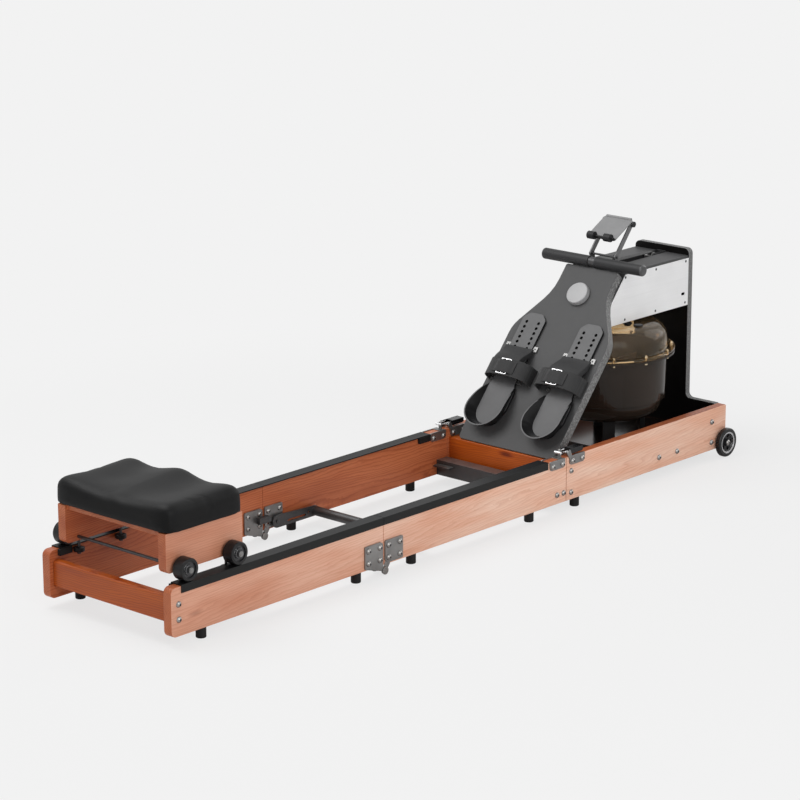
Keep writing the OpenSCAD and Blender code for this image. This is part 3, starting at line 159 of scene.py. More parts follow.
def make_camera():
    data = bpy.data.cameras.new("view")
    data.sensor_width = 36
    data.lens = CAMERA_LENS
    data.clip_end = 50
    camera = placed("view", data)
    turn = Matrix(camera_axes()).transposed().to_4x4()
    camera.matrix_world = Matrix.Translation(spot(*CAMERA_AT)) @ turn
    bpy.context.scene.camera = camera


make_camera()


# Shader helpers

# The Mix node has a set of sockets for each kind of value; these are the places for colours
MIX_FACTOR, MIX_BASE, MIX_TOP = 0, 6, 7
MIX_COLOUR = 2


def new_material(name):
    material = bpy.data.materials.new(name)
    material.use_nodes = True
    return material, material.node_tree, material.node_tree.nodes["Principled BSDF"]


def feed(tree, socket, value):
    """Gives an input its value, or links it to the socket that feeds it."""
    if isinstance(value, bpy.types.NodeSocket):
        tree.links.new(value, socket)
    else:
        socket.default_value = value


def give(tree, node, **inputs):
    """Feeds a node's inputs by their names, with _ for a space."""
    for key, value in inputs.items():
        feed(tree, node.inputs[key.replace("_", " ")], value)


def add(tree, kind, settings=None, **inputs):
    """A new shader node with its settings and inputs."""
    node = tree.nodes.new("ShaderNode" + kind)
    for key, value in (settings or {}).items():
        setattr(node, key, value)
    give(tree, node, **inputs)
    return node


def reckon(tree, kind, operation, *values):
    """The first result of a sum on values and sockets, given in the node's order."""
    node = add(tree, kind, {"operation": operation})
    for socket, value in zip(node.inputs, values):
        feed(tree, socket, value)
    return node.outputs[0]


def noise(tree, where, scale, detail, **more):
    """Cloudy noise from 0 to 1."""
    return add(tree, "TexNoise", Vector=where, Scale=scale, Detail=detail, **more).outputs["Fac"]


def ramp(tree, value, stops):
    """Colours along a value; each stop is a place and a colour."""
    node = add(tree, "ValToRGB", Fac=value)
    elements = node.color_ramp.elements
    while len(elements) < len(stops):
        elements.new(0.5)
    for element, (place, colour) in zip(elements, stops):
        element.position = place
        element.color = (*colour, 1)
    return node.outputs["Color"]


def span(tree, value, low, high):
    """The value, which runs from 0 to 1, spread from low to high."""
    return add(tree, "MapRange", Value=value, To_Min=low, To_Max=high).outputs["Result"]


def over(tree, base, top, factor, mode="MIX"):
    """The top colour laid over the base one, as far as the factor says."""
    node = add(tree, "Mix", {"data_type": "RGBA", "blend_type": mode})
    for place, value in ((MIX_FACTOR, factor), (MIX_BASE, base), (MIX_TOP, top)):
        feed(tree, node.inputs[place], value)
    return node.outputs[MIX_COLOUR]


def place_of(tree, stretch=(1, 1, 1), turn=(0, 0, 0), shift=(0, 0, 0)):
    """The piece's own place, stretched, then turned, then shifted."""
    where = add(tree, "TexCoord").outputs["Object"]
    mapping = add(tree, "Mapping", Vector=where, Rotation=turn, Scale=stretch, Location=shift)
    return mapping.outputs["Vector"]


def stretched(tree, where, scale, shift=(0, 0, 0)):
    """A place, scaled along its axes and shifted."""
    return add(tree, "Mapping", Vector=where, Scale=scale, Location=shift).outputs["Vector"]


def dent(tree, shader, height, depth, strength=1.0):
    """Bumps the surface by a height from 0 to 1 times the depth in metres."""
    bump = add(tree, "Bump", Height=height, Distance=depth, Strength=strength)
    tree.links.new(bump.outputs["Normal"], shader.inputs["Normal"])


def shade(colour, amount):
    """The colour made darker or lighter."""
    return tuple(min(1.0, c * amount) for c in colour)


# Finishes

def plain_finish(name, colour, roughness, metallic=0.0, mottle=0.1, grain=900.0, depth=0.00003,
                 stretch=(1, 1, 1), coat=0.0, specular=0.5):
    """Moulded plastic, rubber, paint or metal: soft mottling, uneven gloss and a fine skin."""
    material, tree, shader = new_material(name)
    where = place_of(tree, stretch)
    patches = noise(tree, where, 22.0, 4.0)
    skin = noise(tree, where, grain, 3.0)
    tint = ramp(tree, patches, [(0.3, shade(colour, 1 - mottle)), (0.7, shade(colour, 1 + mottle))])
    gloss = span(tree, patches, roughness - 0.05, roughness + 0.07)
    give(tree, shader, Base_Color=tint, Roughness=gloss, Metallic=metallic, Coat_Weight=coat,
         Coat_Roughness=0.15, Specular_IOR_Level=specular)
    dent(tree, shader, skin, depth)
    return material


# Stained pine: its ground in dark and in light patches, and the tone of its grain lines, each as
# a deep and a pale colour, the pale one being painted light for lit faces, and the stretch along X,
# in metres, where the outer faces grow paler with a painted sheen
PINE_DARK = ((0.44, 0.105, 0.030), (0.62, 0.262, 0.155))
PINE_LIGHT = ((0.58, 0.162, 0.050), (0.74, 0.382, 0.260))
PINE_LINE = ((0.62, 0.44, 0.36), (0.86, 0.74, 0.68))
PAINTED_SHEEN_FROM, PAINTED_SHEEN_TO = -0.95, 0.15


def tone(pair, pale):
    """A colour from the pair's deep one, at 0, to its pale one, at 1, or beyond either."""
    return tuple(min(1.0, max(0.0, deep + (light - deep) * pale)) for deep, light in zip(*pair))


def stained_pine(name, pale, turn=(0, 0, 0), shift=(0, 0, 0), front_painted_sheen=None):
    """Reddish stained pine under a clear coat; the grain runs along X before the turn. Pale
    is painted light: 0 gives the deep orange of inner faces and 1 the painted pale pink of lit
    outer faces, and it may pass slowly to front_painted_sheen along the machine as a painted sheen."""
    material, tree, shader = new_material(name)
    where = place_of(tree, (1, 1, 1), turn, shift)
    slow = stretched(tree, where, (2.2, 16.0, 16.0))
    waver = add(tree, "TexNoise", Vector=slow, Scale=1.0, Detail=3.0).outputs["Color"]
    bent = reckon(tree, "VectorMath", "MULTIPLY_ADD", waver, (0.0, 0.045, 0.045), where)
    log = add(tree, "Mapping", Vector=bent, Rotation=(0.0, 0.035, 0.03), Location=(0.0, 0.02, 0.055))
    rings = add(
        tree, "TexWave", {"wave_type": "RINGS", "rings_direction": "X", "wave_profile": "SAW"},
        Vector=log.outputs["Vector"], Scale=62.0, Distortion=1.6, Detail=4.0, Detail_Scale=1.4,
    ).outputs["Fac"]
    fibres = noise(tree, stretched(tree, where, (9.0, 520.0, 520.0)), 1.0, 5.0)
    patches = noise(tree, stretched(tree, where, (3.5, 22.0, 22.0)), 1.0, 4.0)
    cells = stretched(tree, where, (3.3, 11.0, 11.0), (0.3, 0.2, 0.1))
    knots = add(tree, "TexVoronoi", Vector=cells, Scale=1.0).outputs["Distance"]

    def ground_of(pale):
        return ramp(tree, patches, [(0.32, tone(PINE_DARK, pale)), (0.68, tone(PINE_LIGHT, pale))])

    ground = ground_of(pale)
    # Painted sheen: the ground grows paler towards the front of the machine
    if front_painted_sheen is not None:
        along = add(tree, "SeparateXYZ", Vector=where).outputs["X"]
        painted_sheen_share = add(tree, "MapRange", Value=along, From_Min=PAINTED_SHEEN_FROM, From_Max=PAINTED_SHEEN_TO)
        ground = over(tree, ground, ground_of(front_painted_sheen), painted_sheen_share.outputs["Result"])
    lines = ramp(tree, rings, [(0.0, (1, 1, 1)), (0.55, (0.96, 0.92, 0.89)),
                               (0.88, tone(PINE_LINE, min(pale, 1.0))), (1.0, (0.92, 0.86, 0.82))])
    streaks = ramp(tree, fibres, [(0.3, (0.80, 0.70, 0.64)), (0.6, (1, 1, 1))])
    spots = ramp(tree, knots, [(0.03, (0.24, 0.12, 0.08)), (0.07, (0.66, 0.50, 0.42)), (0.11, (1, 1, 1))])
    colour = over(tree, ground, lines, 0.75, "MULTIPLY")
    colour = over(tree, colour, streaks, 0.55, "MULTIPLY")
    colour = over(tree, colour, spots, 0.8 - 0.4 * pale, "MULTIPLY")
    give(tree, shader, Base_Color=colour, Roughness=span(tree, fibres, 0.38, 0.54),
         Specular_IOR_Level=0.35, Coat_Weight=0.12, Coat_Roughness=0.2)
    dent(tree, shader, fibres, 0.00008, 0.7)
    return material


def speckled_edge(name):
    """Cut edge of a pressed board: grey with pale and dark specks."""
    material, tree, shader = new_material(name)
    specks = noise(tree, place_of(tree), 330.0, 3.0, Roughness=0.7)
    colour = ramp(tree, specks, [(0.40, (0.07, 0.07, 0.071)), (0.52, (0.15, 0.15, 0.15)),
                                 (0.64, (0.30, 0.30, 0.295))])
    give(tree, shader, Base_Color=colour, Roughness=0.6)
    dent(tree, shader, specks, 0.0001)
    return material


def brushed_panel(name):
    """Pale sheet steel brushed along X."""
    material, tree, shader = new_material(name)
    brush = noise(tree, place_of(tree, (6.0, 900.0, 900.0)), 1.0, 4.0)
    clouds = noise(tree, place_of(tree, (14, 14, 14)), 1.0, 3.0)
    sheet = ramp(tree, brush, [(0.25, (0.88, 0.88, 0.885)), (0.75, (0.95, 0.95, 0.955))])
    dim = ramp(tree, clouds, [(0.3, (0.95, 0.95, 0.95)), (0.7, (1, 1, 1))])
    give(tree, shader, Base_Color=over(tree, sheet, dim, 1.0, "MULTIPLY"),
         Roughness=span(tree, brush, 0.36, 0.52), Metallic=0.3)
    dent(tree, shader, brush, 0.00003)
    return material


def clear_shell(name, colour, depth_tint, clear, coat):
    """See-through plastic whose tint deepens in clouds; clear is the share of light let by, and
    only the outer wall has the coat that gives it its gloss."""
    material, tree, shader = new_material(name)
    clouds = noise(tree, place_of(tree), 6.0, 2.0)
    give(tree, shader, Base_Color=ramp(tree, clouds, [(0.35, depth_tint), (0.65, colour)]),
         Roughness=span(tree, clouds, 0.0, 0.02), IOR=1.08, Transmission_Weight=clear,
         Specular_IOR_Level=0.2, Coat_Weight=coat, Coat_Roughness=0.03, Coat_IOR=1.5)
    return material


def seat_skin(name):
    """Soft black skin of the cushion with a pebbled grain."""
    material, tree, shader = new_material(name)
    where = place_of(tree)
    smooth_cells = {"feature": "SMOOTH_F1"}
    pebbles = add(tree, "TexVoronoi", smooth_cells, Vector=where, Scale=620.0).outputs["Distance"]
    patches = noise(tree, where, 14.0, 4.0)
    colour = ramp(tree, patches, [(0.3, (0.0025, 0.0025, 0.0027)), (0.7, (0.005, 0.005, 0.0052))])
    give(tree, shader, Base_Color=colour, Roughness=span(tree, patches, 0.44, 0.56),
         Specular_IOR_Level=0.16)
    dent(tree, shader, pebbles, 0.00012, 0.6)
    return material


def webbing(name, turn):
    """Woven strap; the threads run along and across it after the turn."""
    material, tree, shader = new_material(name)
    where = place_of(tree, (1, 1, 1), turn)
    along = add(tree, "TexWave", {"bands_direction": "X"}, Vector=where, Scale=130.0).outputs["Fac"]
    across = add(tree, "TexWave", {"bands_direction": "Y"}, Vector=where, Scale=110.0).outputs["Fac"]
    weave = reckon(tree, "Math", "MULTIPLY", along, across)
    threads = ramp(tree, weave, [(0.0, (0.007, 0.007, 0.0075)), (0.8, (0.022, 0.022, 0.023))])
    fuzz = ramp(tree, noise(tree, where, 500.0, 2.0), [(0.4, (0.8, 0.8, 0.8)), (0.6, (1, 1, 1))])
    give(tree, shader, Base_Color=over(tree, threads, fuzz, 1.0, "MULTIPLY"), Roughness=0.75,
         Sheen_Weight=0.15)
    dent(tree, shader, weave, 0.0003)
    return material


# The pine's grain turned to run across the machine
QUARTER = math.radians(90)

# Every finish by its name, under the function that makes it
FINISHES = {
    stained_pine: {
        # The outer faces' pale pink, and its growth towards the front, are painted light and sheen; so is
        # the seat frame's pale outer pine
        "pine_outer": dict(pale=1.05, front_painted_sheen=2.4),
        "pine_rail": dict(pale=0.1),
        "pine_cross": dict(pale=-0.2, turn=(0, 0, QUARTER), shift=(0.4, 0.5, 3.0)),
        "pine_seat": dict(pale=0.85, shift=(0.7, 0.05, -0.03)),
    },
    speckled_edge: {
        "board_edge": dict(),
    },
    brushed_panel: {
        "panel": dict(),
    },
    clear_shell: {
        "amber": dict(colour=(0.90, 0.77, 0.58), depth_tint=(0.82, 0.64, 0.42), clear=0.97, coat=0.35),
        "amber_inner": dict(colour=(0.90, 0.78, 0.60), depth_tint=(0.84, 0.66, 0.44), clear=0.97,
                            coat=0.0),
        "smoky": dict(colour=(0.070, 0.052, 0.040), depth_tint=(0.045, 0.033, 0.025), clear=0.5,
                      coat=0.35),
        "smoky_inner": dict(colour=(0.09, 0.065, 0.05), depth_tint=(0.06, 0.045, 0.03), clear=0.6,
                            coat=0.0),
    },
    seat_skin: {
        "seat_skin": dict(),
    },
    webbing: {
        "strap_across": dict(turn=(0, math.radians(BOARD_ANGLE), 0)),
        "strap_along": dict(turn=(0, 0, 0)),
    },
    plain_finish: {
        "board_face": dict(colour=(0.062, 0.062, 0.063), roughness=0.5, mottle=0.08, depth=0.00004,
                           specular=0.3),
        # Near black for board faces turned from the light: painted shade
        "board_dark": dict(colour=(0.004, 0.0036, 0.0034), roughness=0.4, mottle=0.2, specular=0.1),
        # A glossy board whose near-black colour is painted shade under the tank
        "base_gloss": dict(colour=(0.012, 0.006, 0.004), roughness=0.18, mottle=0.2, coat=0.3,
                           specular=0.25),
        "track": dict(colour=(0.006, 0.006, 0.0065), roughness=0.4, stretch=(0.1, 1, 1), specular=0.12),
        "track_side": dict(colour=(0.013, 0.0135, 0.0135), roughness=0.42, stretch=(0.1, 1, 1),
                           specular=0.15),
        "steel": dict(colour=(0.23, 0.228, 0.225), roughness=0.34, metallic=0.8, mottle=0.18),
        "dark_steel": dict(colour=(0.075, 0.075, 0.077), roughness=0.38, metallic=0.7, mottle=0.15),
        "bolt": dict(colour=(0.30, 0.29, 0.28), roughness=0.2, metallic=1.0, mottle=0.12),
        "bright": dict(colour=(0.55, 0.55, 0.56), roughness=0.22, metallic=1.0, mottle=0.06),
        "chrome": dict(colour=(0.80, 0.80, 0.81), roughness=0.1, metallic=1.0, mottle=0.03),
        "gilt": dict(colour=(0.62, 0.50, 0.33), roughness=0.2, metallic=1.0, mottle=0.08),
        "screw": dict(colour=(0.030, 0.030, 0.032), roughness=0.35, metallic=0.5),
        "rubber": dict(colour=(0.009, 0.009, 0.009), roughness=0.6, mottle=0.2, depth=0.00006,
                       specular=0.25),
        "tyre": dict(colour=(0.008, 0.008, 0.0085), roughness=0.22, coat=0.2, specular=0.25),
        "black_plastic": dict(colour=(0.010, 0.010, 0.011), roughness=0.45, specular=0.3),
        "roller": dict(colour=(0.012, 0.012, 0.013), roughness=0.34, specular=0.25),
        "roller_face": dict(colour=(0.065, 0.065, 0.068), roughness=0.3, metallic=0.9),
        "gloss_black": dict(colour=(0.008, 0.008, 0.009), roughness=0.25, coat=0.15, specular=0.2),
        "disc": dict(colour=(0.40, 0.40, 0.405), roughness=0.42, mottle=0.05),
        "plate_grey": dict(colour=(0.105, 0.105, 0.107), roughness=0.42, mottle=0.10, specular=0.35),
        "cup_black": dict(colour=(0.008, 0.008, 0.0085), roughness=0.28, mottle=0.12, coat=0.15,
                          specular=0.2),
        "pad_cover": dict(colour=(0.034, 0.034, 0.035), roughness=0.55, grain=1300.0, depth=0.0001,
                          specular=0.2),
        "foam": dict(colour=(0.024, 0.024, 0.025), roughness=0.5, grain=1500.0, depth=0.00012,
                     specular=0.3),
        "cap_grey": dict(colour=(0.060, 0.060, 0.062), roughness=0.3, coat=0.2),
        "paddle": dict(colour=(0.10, 0.075, 0.05), roughness=0.4),
        "phone_plate": dict(colour=(0.27, 0.27, 0.273), roughness=0.45, mottle=0.05, specular=0.3),
        "phone_metal": dict(colour=(0.15, 0.15, 0.152), roughness=0.4, metallic=0.3),
    },
}

finish_of = {
    name: make(name, **settings)
    for make, finishes in FINISHES.items()
    for name, settings in finishes.items()
}


# Pieces made from the CAD nodes

def body_of(node):
    return frame["nodes"][node]["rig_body"]


def settle(piece, node):
    """Puts a finished piece on its node's body, in the node's place."""
    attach(piece, body_of(node))
    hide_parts(node)


def eased(node, finish, ease, parts=()):
    """A copy of a CAD node with its flats merged and its edges eased by so many millimetres.
    Each of parts is a finish and the test, on a face's middle and normal, that it goes by."""
    data = frame["nodes"][node].data.copy()
    data.materials.clear()
    for name in [finish] + [name for name, _ in parts]:
        data.materials.append(finish_of[name])
    mesh = bmesh.new()
    mesh.from_mesh(data)
    bmesh.ops.remove_doubles(mesh, verts=mesh.verts, dist=WELD)
    for face in mesh.faces:
        face.smooth = True
        middle = face.calc_center_median() * 1000 + Vector((MIDDLE_X, 0, 0))
        for index, (_, test) in enumerate(parts):
            if test(middle, face.normal):
                face.material_index = index + 1
    bmesh.ops.dissolve_limit(mesh, angle_limit=FLAT, verts=mesh.verts, edges=mesh.edges,
                             delimit={"MATERIAL"})
    mesh.to_mesh(data)
    mesh.free()
    piece = placed("piece_" + node, data)
    if ease:
        bevel = piece.modifiers.new("eased_edges", "BEVEL")
        bevel.width = ease / 1000
        bevel.segments = 2
        bevel.limit_method = "ANGLE"
        bevel.angle_limit = SHARP
        bevel.use_clamp_overlap = False
        flats = piece.modifiers.new("true_flats", "WEIGHTED_NORMAL")
        flats.weight = 100
        flats.keep_sharp = True
    else:
        data.set_sharp_from_angle(angle=SHARP)
    settle(piece, node)


# Tests on a face's middle, in the machine's millimetres, and on its normal

def board_place(middle):
    """A point's place along the footboard, across it and off its face, in millimetres."""
    a = math.radians(BOARD_ANGLE)
    x, z = middle.x - BOARD_START[0], middle.z - BOARD_START[1]
    return x * math.cos(a) + z * math.sin(a), middle.y, z * math.cos(a) - x * math.sin(a)


def on_board_face(middle, normal):
    """True on faces that lie along the footboard's own faces."""
    a = math.radians(BOARD_ANGLE)
    return abs(normal.z * math.cos(a) - normal.x * math.sin(a)) > FACING


def off_board(rise):
    """A test for the faces that stand farther than the rise off the footboard."""
    return lambda middle, normal: board_place(middle)[2] > rise


def looks(way):
    """A test for the faces that look a given way."""
    return lambda middle, normal: normal.dot(Vector(way)) > FACING


def looks_sideways(middle, normal):
    """True on faces that look to either side of the machine."""
    return abs(normal.y) > FACING


def outward_side(reach):
    """A test for the faces that look outwards from the machine, at the reach from its middle."""
    def test(middle, normal):
        outwards = normal.y * middle.y > 0
        return looks_sideways(middle, normal) and abs(middle.y) > reach - 1 and outwards
    return test


def beyond(y):
    """A test for the faces farther than y from the machine's middle."""
    return lambda middle, normal: abs(middle.y) > y


def round_axle(axle, low, high, flats=True):
    """A test for the faces from low to high off an axle, with or without those that look
    straight along it."""
    def test(middle, normal):
        off = math.hypot(middle.x - axle[0], middle.z - axle[1])
        return low <= off < high and (flats or abs(normal.y) < 0.95)
    return test


def faces_tank_middle(middle, normal):
    """True on the tank's inner walls, whose faces look towards a point on its axis."""
    return normal.dot(Vector((TANK_X, 0, TANK_MIDDLE_Z)) - middle) > 0


# The pieces, by what they are made of; an eased edge's width is in millimetres

def make_wood():
    for node in ("rear_rails", "middle_rails", "front_rails"):
        # The rails' outer faces take the pale pine as painted light
        eased(node, "pine_rail", 1.2, [("pine_outer", outward_side(RAIL_OUT))])
    for node in ("rear_crossbeam", "front_crossbeam"):
        eased(node, "pine_cross", 1.0)
    # The seat frame's outer faces take the pale pine as painted light
    eased("seat_frame", "pine_rail", 1.0, [("pine_seat", outward_side(SEAT_OUT))])
    # The base board's near-black colour is painted shade under the tank
    eased("base_board", "base_gloss", 0.8)
    eased("footboard", "board_edge", 0.8, [("board_face", on_board_face)])
    # The upright's face that looks to -X is near black as painted shade
    eased("front_upright", "board_edge", 0.8,
          [("board_face", looks((1, 0, 0))), ("board_dark", looks((-1, 0, 0)))])
    # The housing's underside is near black as painted shade
    eased("housing_boards", "board_face", 0.8, [("board_dark", looks((0, 0, -1)))])


def make_metal():
    for node in ("rear_tracks", "middle_tracks"):
        eased(node, "track", 0.5, [("track_side", looks_sideways)])
    # The plates inside the rails take the dark steel as painted shade
    for node in ("rear_hinge_plates", "middle_hinge_plates"):
        eased(node, "steel", 0.5,
              [("dark_steel", lambda middle, normal: abs(middle.y) < HINGE_INNER_Y)])
    eased("release_lever", "dark_steel", 0.5)
    # The channel's top faces take paler steel than its other faces as painted light
    eased("cross_channel", "dark_steel", 0.5, [("steel", looks((0, 0, 1)))])
    for node in ("rear_bolts", "frame_bolts", "hinge_pins"):
        eased(node, "bolt", 0.3)
    eased("tank_bolts", "gilt", 0.3)
    eased("seat_axles", "dark_steel", 0.3, [("steel", beyond(AXLE_END_Y))])
    eased("latch_plates", "steel", 0.4)
    eased("roller_bracket", "dark_steel", 0.3)
    eased("footrest_hardware", "steel", 0.2, [("chrome", off_board(BUCKLE_OFF))])
    eased("shaft_bearings", "steel", 0)
    for side in ("left", "right"):
        eased("latch_lever_" + side, "gloss_black", 0.4)
        eased("latch_bail_" + side, "chrome", 0)
    eased("housing_sides", "panel", 0.3, [("screw", beyond(SCREW_Y))])
    eased("belt_roller", "steel", 0.3)


def make_plastic():
    for node in ("rear_feet_and_stops", "frame_feet_and_stops"):
        eased(node, "rubber", 0.8)
    for node, x in zip(("rear_seat_rollers", "front_seat_rollers"), ROLLER_AXLES):
        axle = (x, ROLLER_Z)
        eased(node, "roller", 0.4,
              [("roller_face", round_axle(axle, 0, ROLLER_FACE_R)),
               ("bright", round_axle(axle, *ROLLER_RING, flats=False))])
    for place in ("rear_left", "rear_right", "front_left", "front_right"):
        eased("guide_roller_" + place, "roller", 0.3)
    for side in ("left", "right"):
        eased("transport_wheel_" + side, "tyre", 0.4,
              [("black_plastic", round_axle(WHEEL_AXLE, 0, WHEEL_RING[0])),
               ("bright", round_axle(WHEEL_AXLE, *WHEEL_RING))])
    eased("foot_disc", "disc", 0)
    eased("handle_grips", "foam", 0, [("cap_grey", beyond(GRIP_CAP_Y))])
    eased("handle_bar", "dark_steel", 0.3)
    eased("handle_strap", "strap_along", 0)
    eased("inner_strap", "strap_along", 0)
    eased("strap_drum", "black_plastic", 0.5)
    eased("phone_bracket", "dark_steel", 0.4)
    eased("phone_arms", "phone_metal", 0.4, [("black_plastic", beyond(PHONE_KNOB_Y))])
    eased("phone_plate", "phone_plate", 0.4,
          [("black_plastic", lambda middle, normal: middle.x < PHONE_REST_X)])
    eased("tank_upper", "amber", 0, [("amber_inner", faces_tank_middle)])
    eased("tank_lower", "smoky", 0, [("smoky_inner", faces_tank_middle)])
    eased("tank_gasket", "gilt", 0.2)
    eased("tank_legs", "rubber", 0.8)
    eased("filler_caps", "black_plastic", 0.5)
    eased("paddle", "paddle", 0.5)


def make_footrests():
    for side in ("left", "right"):
        eased("footrest_" + side, "cup_black", 0.5, [("plate_grey", on_board_face)])
    eased("foot_straps", "strap_across", 0)


make_wood()
make_metal()
make_plastic()
make_footrests()


# Cushion

# In millimetres: its middle and underside, its half sizes, its height and the height of its
# sides, and its corners' radius
CUSHION_X = 143.0
CUSHION_Z = 264.6
CUSHION_HALF_X = 131.0
CUSHION_HALF_Y = 202.6
CUSHION_H = 66.0
CUSHION_EDGE = 14.0
CUSHION_CORNER = 38.0
# The form's rows and columns, how much they crowd to its sides, and how its base draws in
CUSHION_ROWS, CUSHION_COLS = 60, 80
CROWDING = 0.35
BASE_U, BASE_V, BASE_RISE = 0.985, 0.99, 0.2
# The form starts a swell, in millimetres, inside the CAD cushion; filling with air moves no
# point more than that swell times its reach
SWELL = 1.5
SWELL_REACH = 1.6
AIR_PRESSURE = 4
SIM_FRAMES = 20
# Mesh spacing, in metres
VOXEL = 0.0045


def hump(u, centre, width):
    """A smooth rise to 1 at the centre."""
    return math.exp(-((u - centre) / width) ** 2)


def cushion_height(u, v):
    """Height of the cushion's top; u runs to the front and v across, from -1 to 1. The relief
    is the raised corners, the notch at the back and the lip in it, the rise between the thighs,
    the thighs' channels and the hollows to sit in."""
    relief = (
        5 * hump(abs(u), 0.9, 0.4) * hump(abs(v), 0.94, 0.26)
        - 17 * hump(u, -1, 0.6) * hump(v, 0, 0.55)
        + 4 * hump(u, -0.95, 0.35) * hump(v, -0.04, 0.12)
        + 10 * hump(u, 1, 0.75) * hump(v, 0, 0.2)
        - 8 * hump(u, 0.9, 0.65) * hump(abs(v), 0.48, 0.26)
        - 8 * hump(u, -0.15, 0.5) * hump(abs(v), 0.42, 0.32)
    )
    fall = max(0, 1 - abs(u) ** 9) ** 0.26 * max(0, 1 - abs(v) ** 11) ** 0.26
    return CUSHION_EDGE + (CUSHION_H - CUSHION_EDGE) * (1 + relief / CUSHION_H) * fall


def cushion_point(u, v, z):
    """A point of the cushion's skin, a little inside the CAD solid, with rounded corners."""
    drawn_in = CUSHION_CORNER * (1 - math.sqrt(0.5)) * (u * v) ** 8 + SWELL
    return spot(CUSHION_X + u * (CUSHION_HALF_X - drawn_in), v * (CUSHION_HALF_Y - drawn_in), CUSHION_Z + z)


def cushion_form():
    """A closed form of a top and a bottom sheet, with more rows and columns near its sides."""
    mesh = bmesh.new()

    def spread(i, n):
        t = 2 * i / n - 1
        return CROWDING * math.sin(math.pi / 2 * t) + (1 - CROWDING) * t

    def sheet(point):
        return [[mesh.verts.new(point(spread(i, CUSHION_ROWS), spread(j, CUSHION_COLS)))
                 for j in range(CUSHION_COLS + 1)] for i in range(CUSHION_ROWS + 1)]

    top = sheet(lambda u, v: cushion_point(u, v, cushion_height(u, v) - SWELL))
    base = sheet(lambda u, v: cushion_point(u * BASE_U, v * BASE_V, BASE_RISE))
    for i in range(CUSHION_ROWS):
        for j in range(CUSHION_COLS):
            mesh.faces.new((top[i][j], top[i + 1][j], top[i + 1][j + 1], top[i][j + 1]))
            mesh.faces.new((base[i][j], base[i][j + 1], base[i + 1][j + 1], base[i + 1][j]))
    rim = [(0, j) for j in range(CUSHION_COLS)]
    rim += [(i, CUSHION_COLS) for i in range(CUSHION_ROWS)]
    rim += [(CUSHION_ROWS, j) for j in range(CUSHION_COLS, 0, -1)]
    rim += [(i, 0) for i in range(CUSHION_ROWS, 0, -1)]
    for (a, b), (c, d) in zip(rim, rim[1:] + rim[:1]):
        mesh.faces.new((top[a][b], top[c][d], base[c][d], base[a][b]))
    bmesh.ops.recalc_face_normals(mesh, faces=mesh.faces)
    return finished_mesh("cushion", mesh)


def points_of(data):
    """The mesh's points as rows of x, y and z."""
    places = np.zeros(len(data.vertices) * 3)
    data.vertices.foreach_get("co", places)
    return places.reshape(-1, 3)


def applied(piece):
    """The piece's mesh with its modifiers worked in."""
    seen = piece.evaluated_get(bpy.context.evaluated_depsgraph_get())
    data = bpy.data.meshes.new_from_object(seen)
    piece.modifiers.clear()
    return data


def swell(piece, cap):
    """Lets the cushion fill with air as cloth does, with no point moving more than cap."""
    start = points_of(piece.data)
    cloth = piece.modifiers.new("filling", "CLOTH")
    cloth.settings.use_pressure = True
    cloth.settings.uniform_pressure_force = AIR_PRESSURE
    cloth.settings.effector_weights.gravity = 0
    cloth.point_cache.frame_start = 1
    cloth.point_cache.frame_end = SIM_FRAMES
    for step in range(1, SIM_FRAMES + 1):
        bpy.context.scene.frame_set(step)
    end = points_of(applied(piece))
    bpy.context.scene.frame_set(1)
    move = end - start
    size = np.linalg.norm(move, axis=1, keepdims=True)
    move *= np.minimum(1, cap / np.maximum(size, 1e-9))
    places = start + move
    places[:, 2] = np.maximum(places[:, 2], CUSHION_Z / 1000)
    piece.data.vertices.foreach_set("co", places.ravel())


def make_cushion():
    piece = placed("cushion", cushion_form())
    remesh = piece.modifiers.new("even_mesh", "REMESH")
    remesh.mode = "VOXEL"
    remesh.voxel_size = VOXEL
    piece.data = applied(piece)
    swell(piece, SWELL / 1000 * SWELL_REACH)
    smooth = piece.modifiers.new("smooth_skin", "SUBSURF")
    smooth.levels = 1
    smooth.render_levels = 1
    piece.data = applied(piece)
    piece.data.polygons.foreach_set("use_smooth", [True] * len(piece.data.polygons))
    piece.data.materials.append(finish_of["seat_skin"])
    settle(piece, "seat_cushion")


make_cushion()


# Toe pads and strap tails on the footboard

# All in millimetres. The CAD straps' feet across the board, their place up it, and the rise,
# powers and half thickness of their arch
STRAP_Y = (15.0, 160.0)
STRAP_MIDDLE = sum(STRAP_Y) / 2
STRAP_S = 212.0
STRAP_RISE = 47.0
STRAP_POWERS = (0.72, 0.62)
STRAP_HALF_T = 1.25
# A toe pad: its upper end up the board, its length and half width, its height there, and how far
# down it takes to lift under the strap; then its turned-down sides and its gap to the strap
PAD_TOP_S = 292.0
PAD_REACH = 84.0
PAD_HALF = 46.0
PAD_H = 11.0
PAD_LIFT = 56.0
PAD_SKIRT = 7.6
PAD_FOLD = 14.0
PAD_FLARE = 1.2
PAD_GAP = 0.5
PAD_ROWS, PAD_COLS = 22, 21
# A strap tail: its half width and length, its height over the buckle, how far it stays level and
# how it falls after that, and its gap to the strap
TAIL_HALF_W = 18.5
TAIL_HALF_Y = 36.0
TAIL_H = 52.4
TAIL_FLAT = 19.0
TAIL_SLOPE = 0.45
TAIL_GAP = 0.4
TAIL_ROWS, TAIL_COLS = 5, 25
# Both are sheets with rounded edges
CLOTH_T = 1.8
CLOTH_ROUND = 0.5
CLOTH_SHARP = math.radians(40)


def arch_height(y):
    """Height of the strap's middle line over the board, y millimetres out from the middle."""
    low, high = STRAP_Y
    out_power, up_power = STRAP_POWERS
    reach = min(1.0, abs(y - STRAP_MIDDLE) / ((high - low) / 2)) ** (1 / out_power)
    return STRAP_RISE * math.sqrt(1 - reach * reach) ** up_power


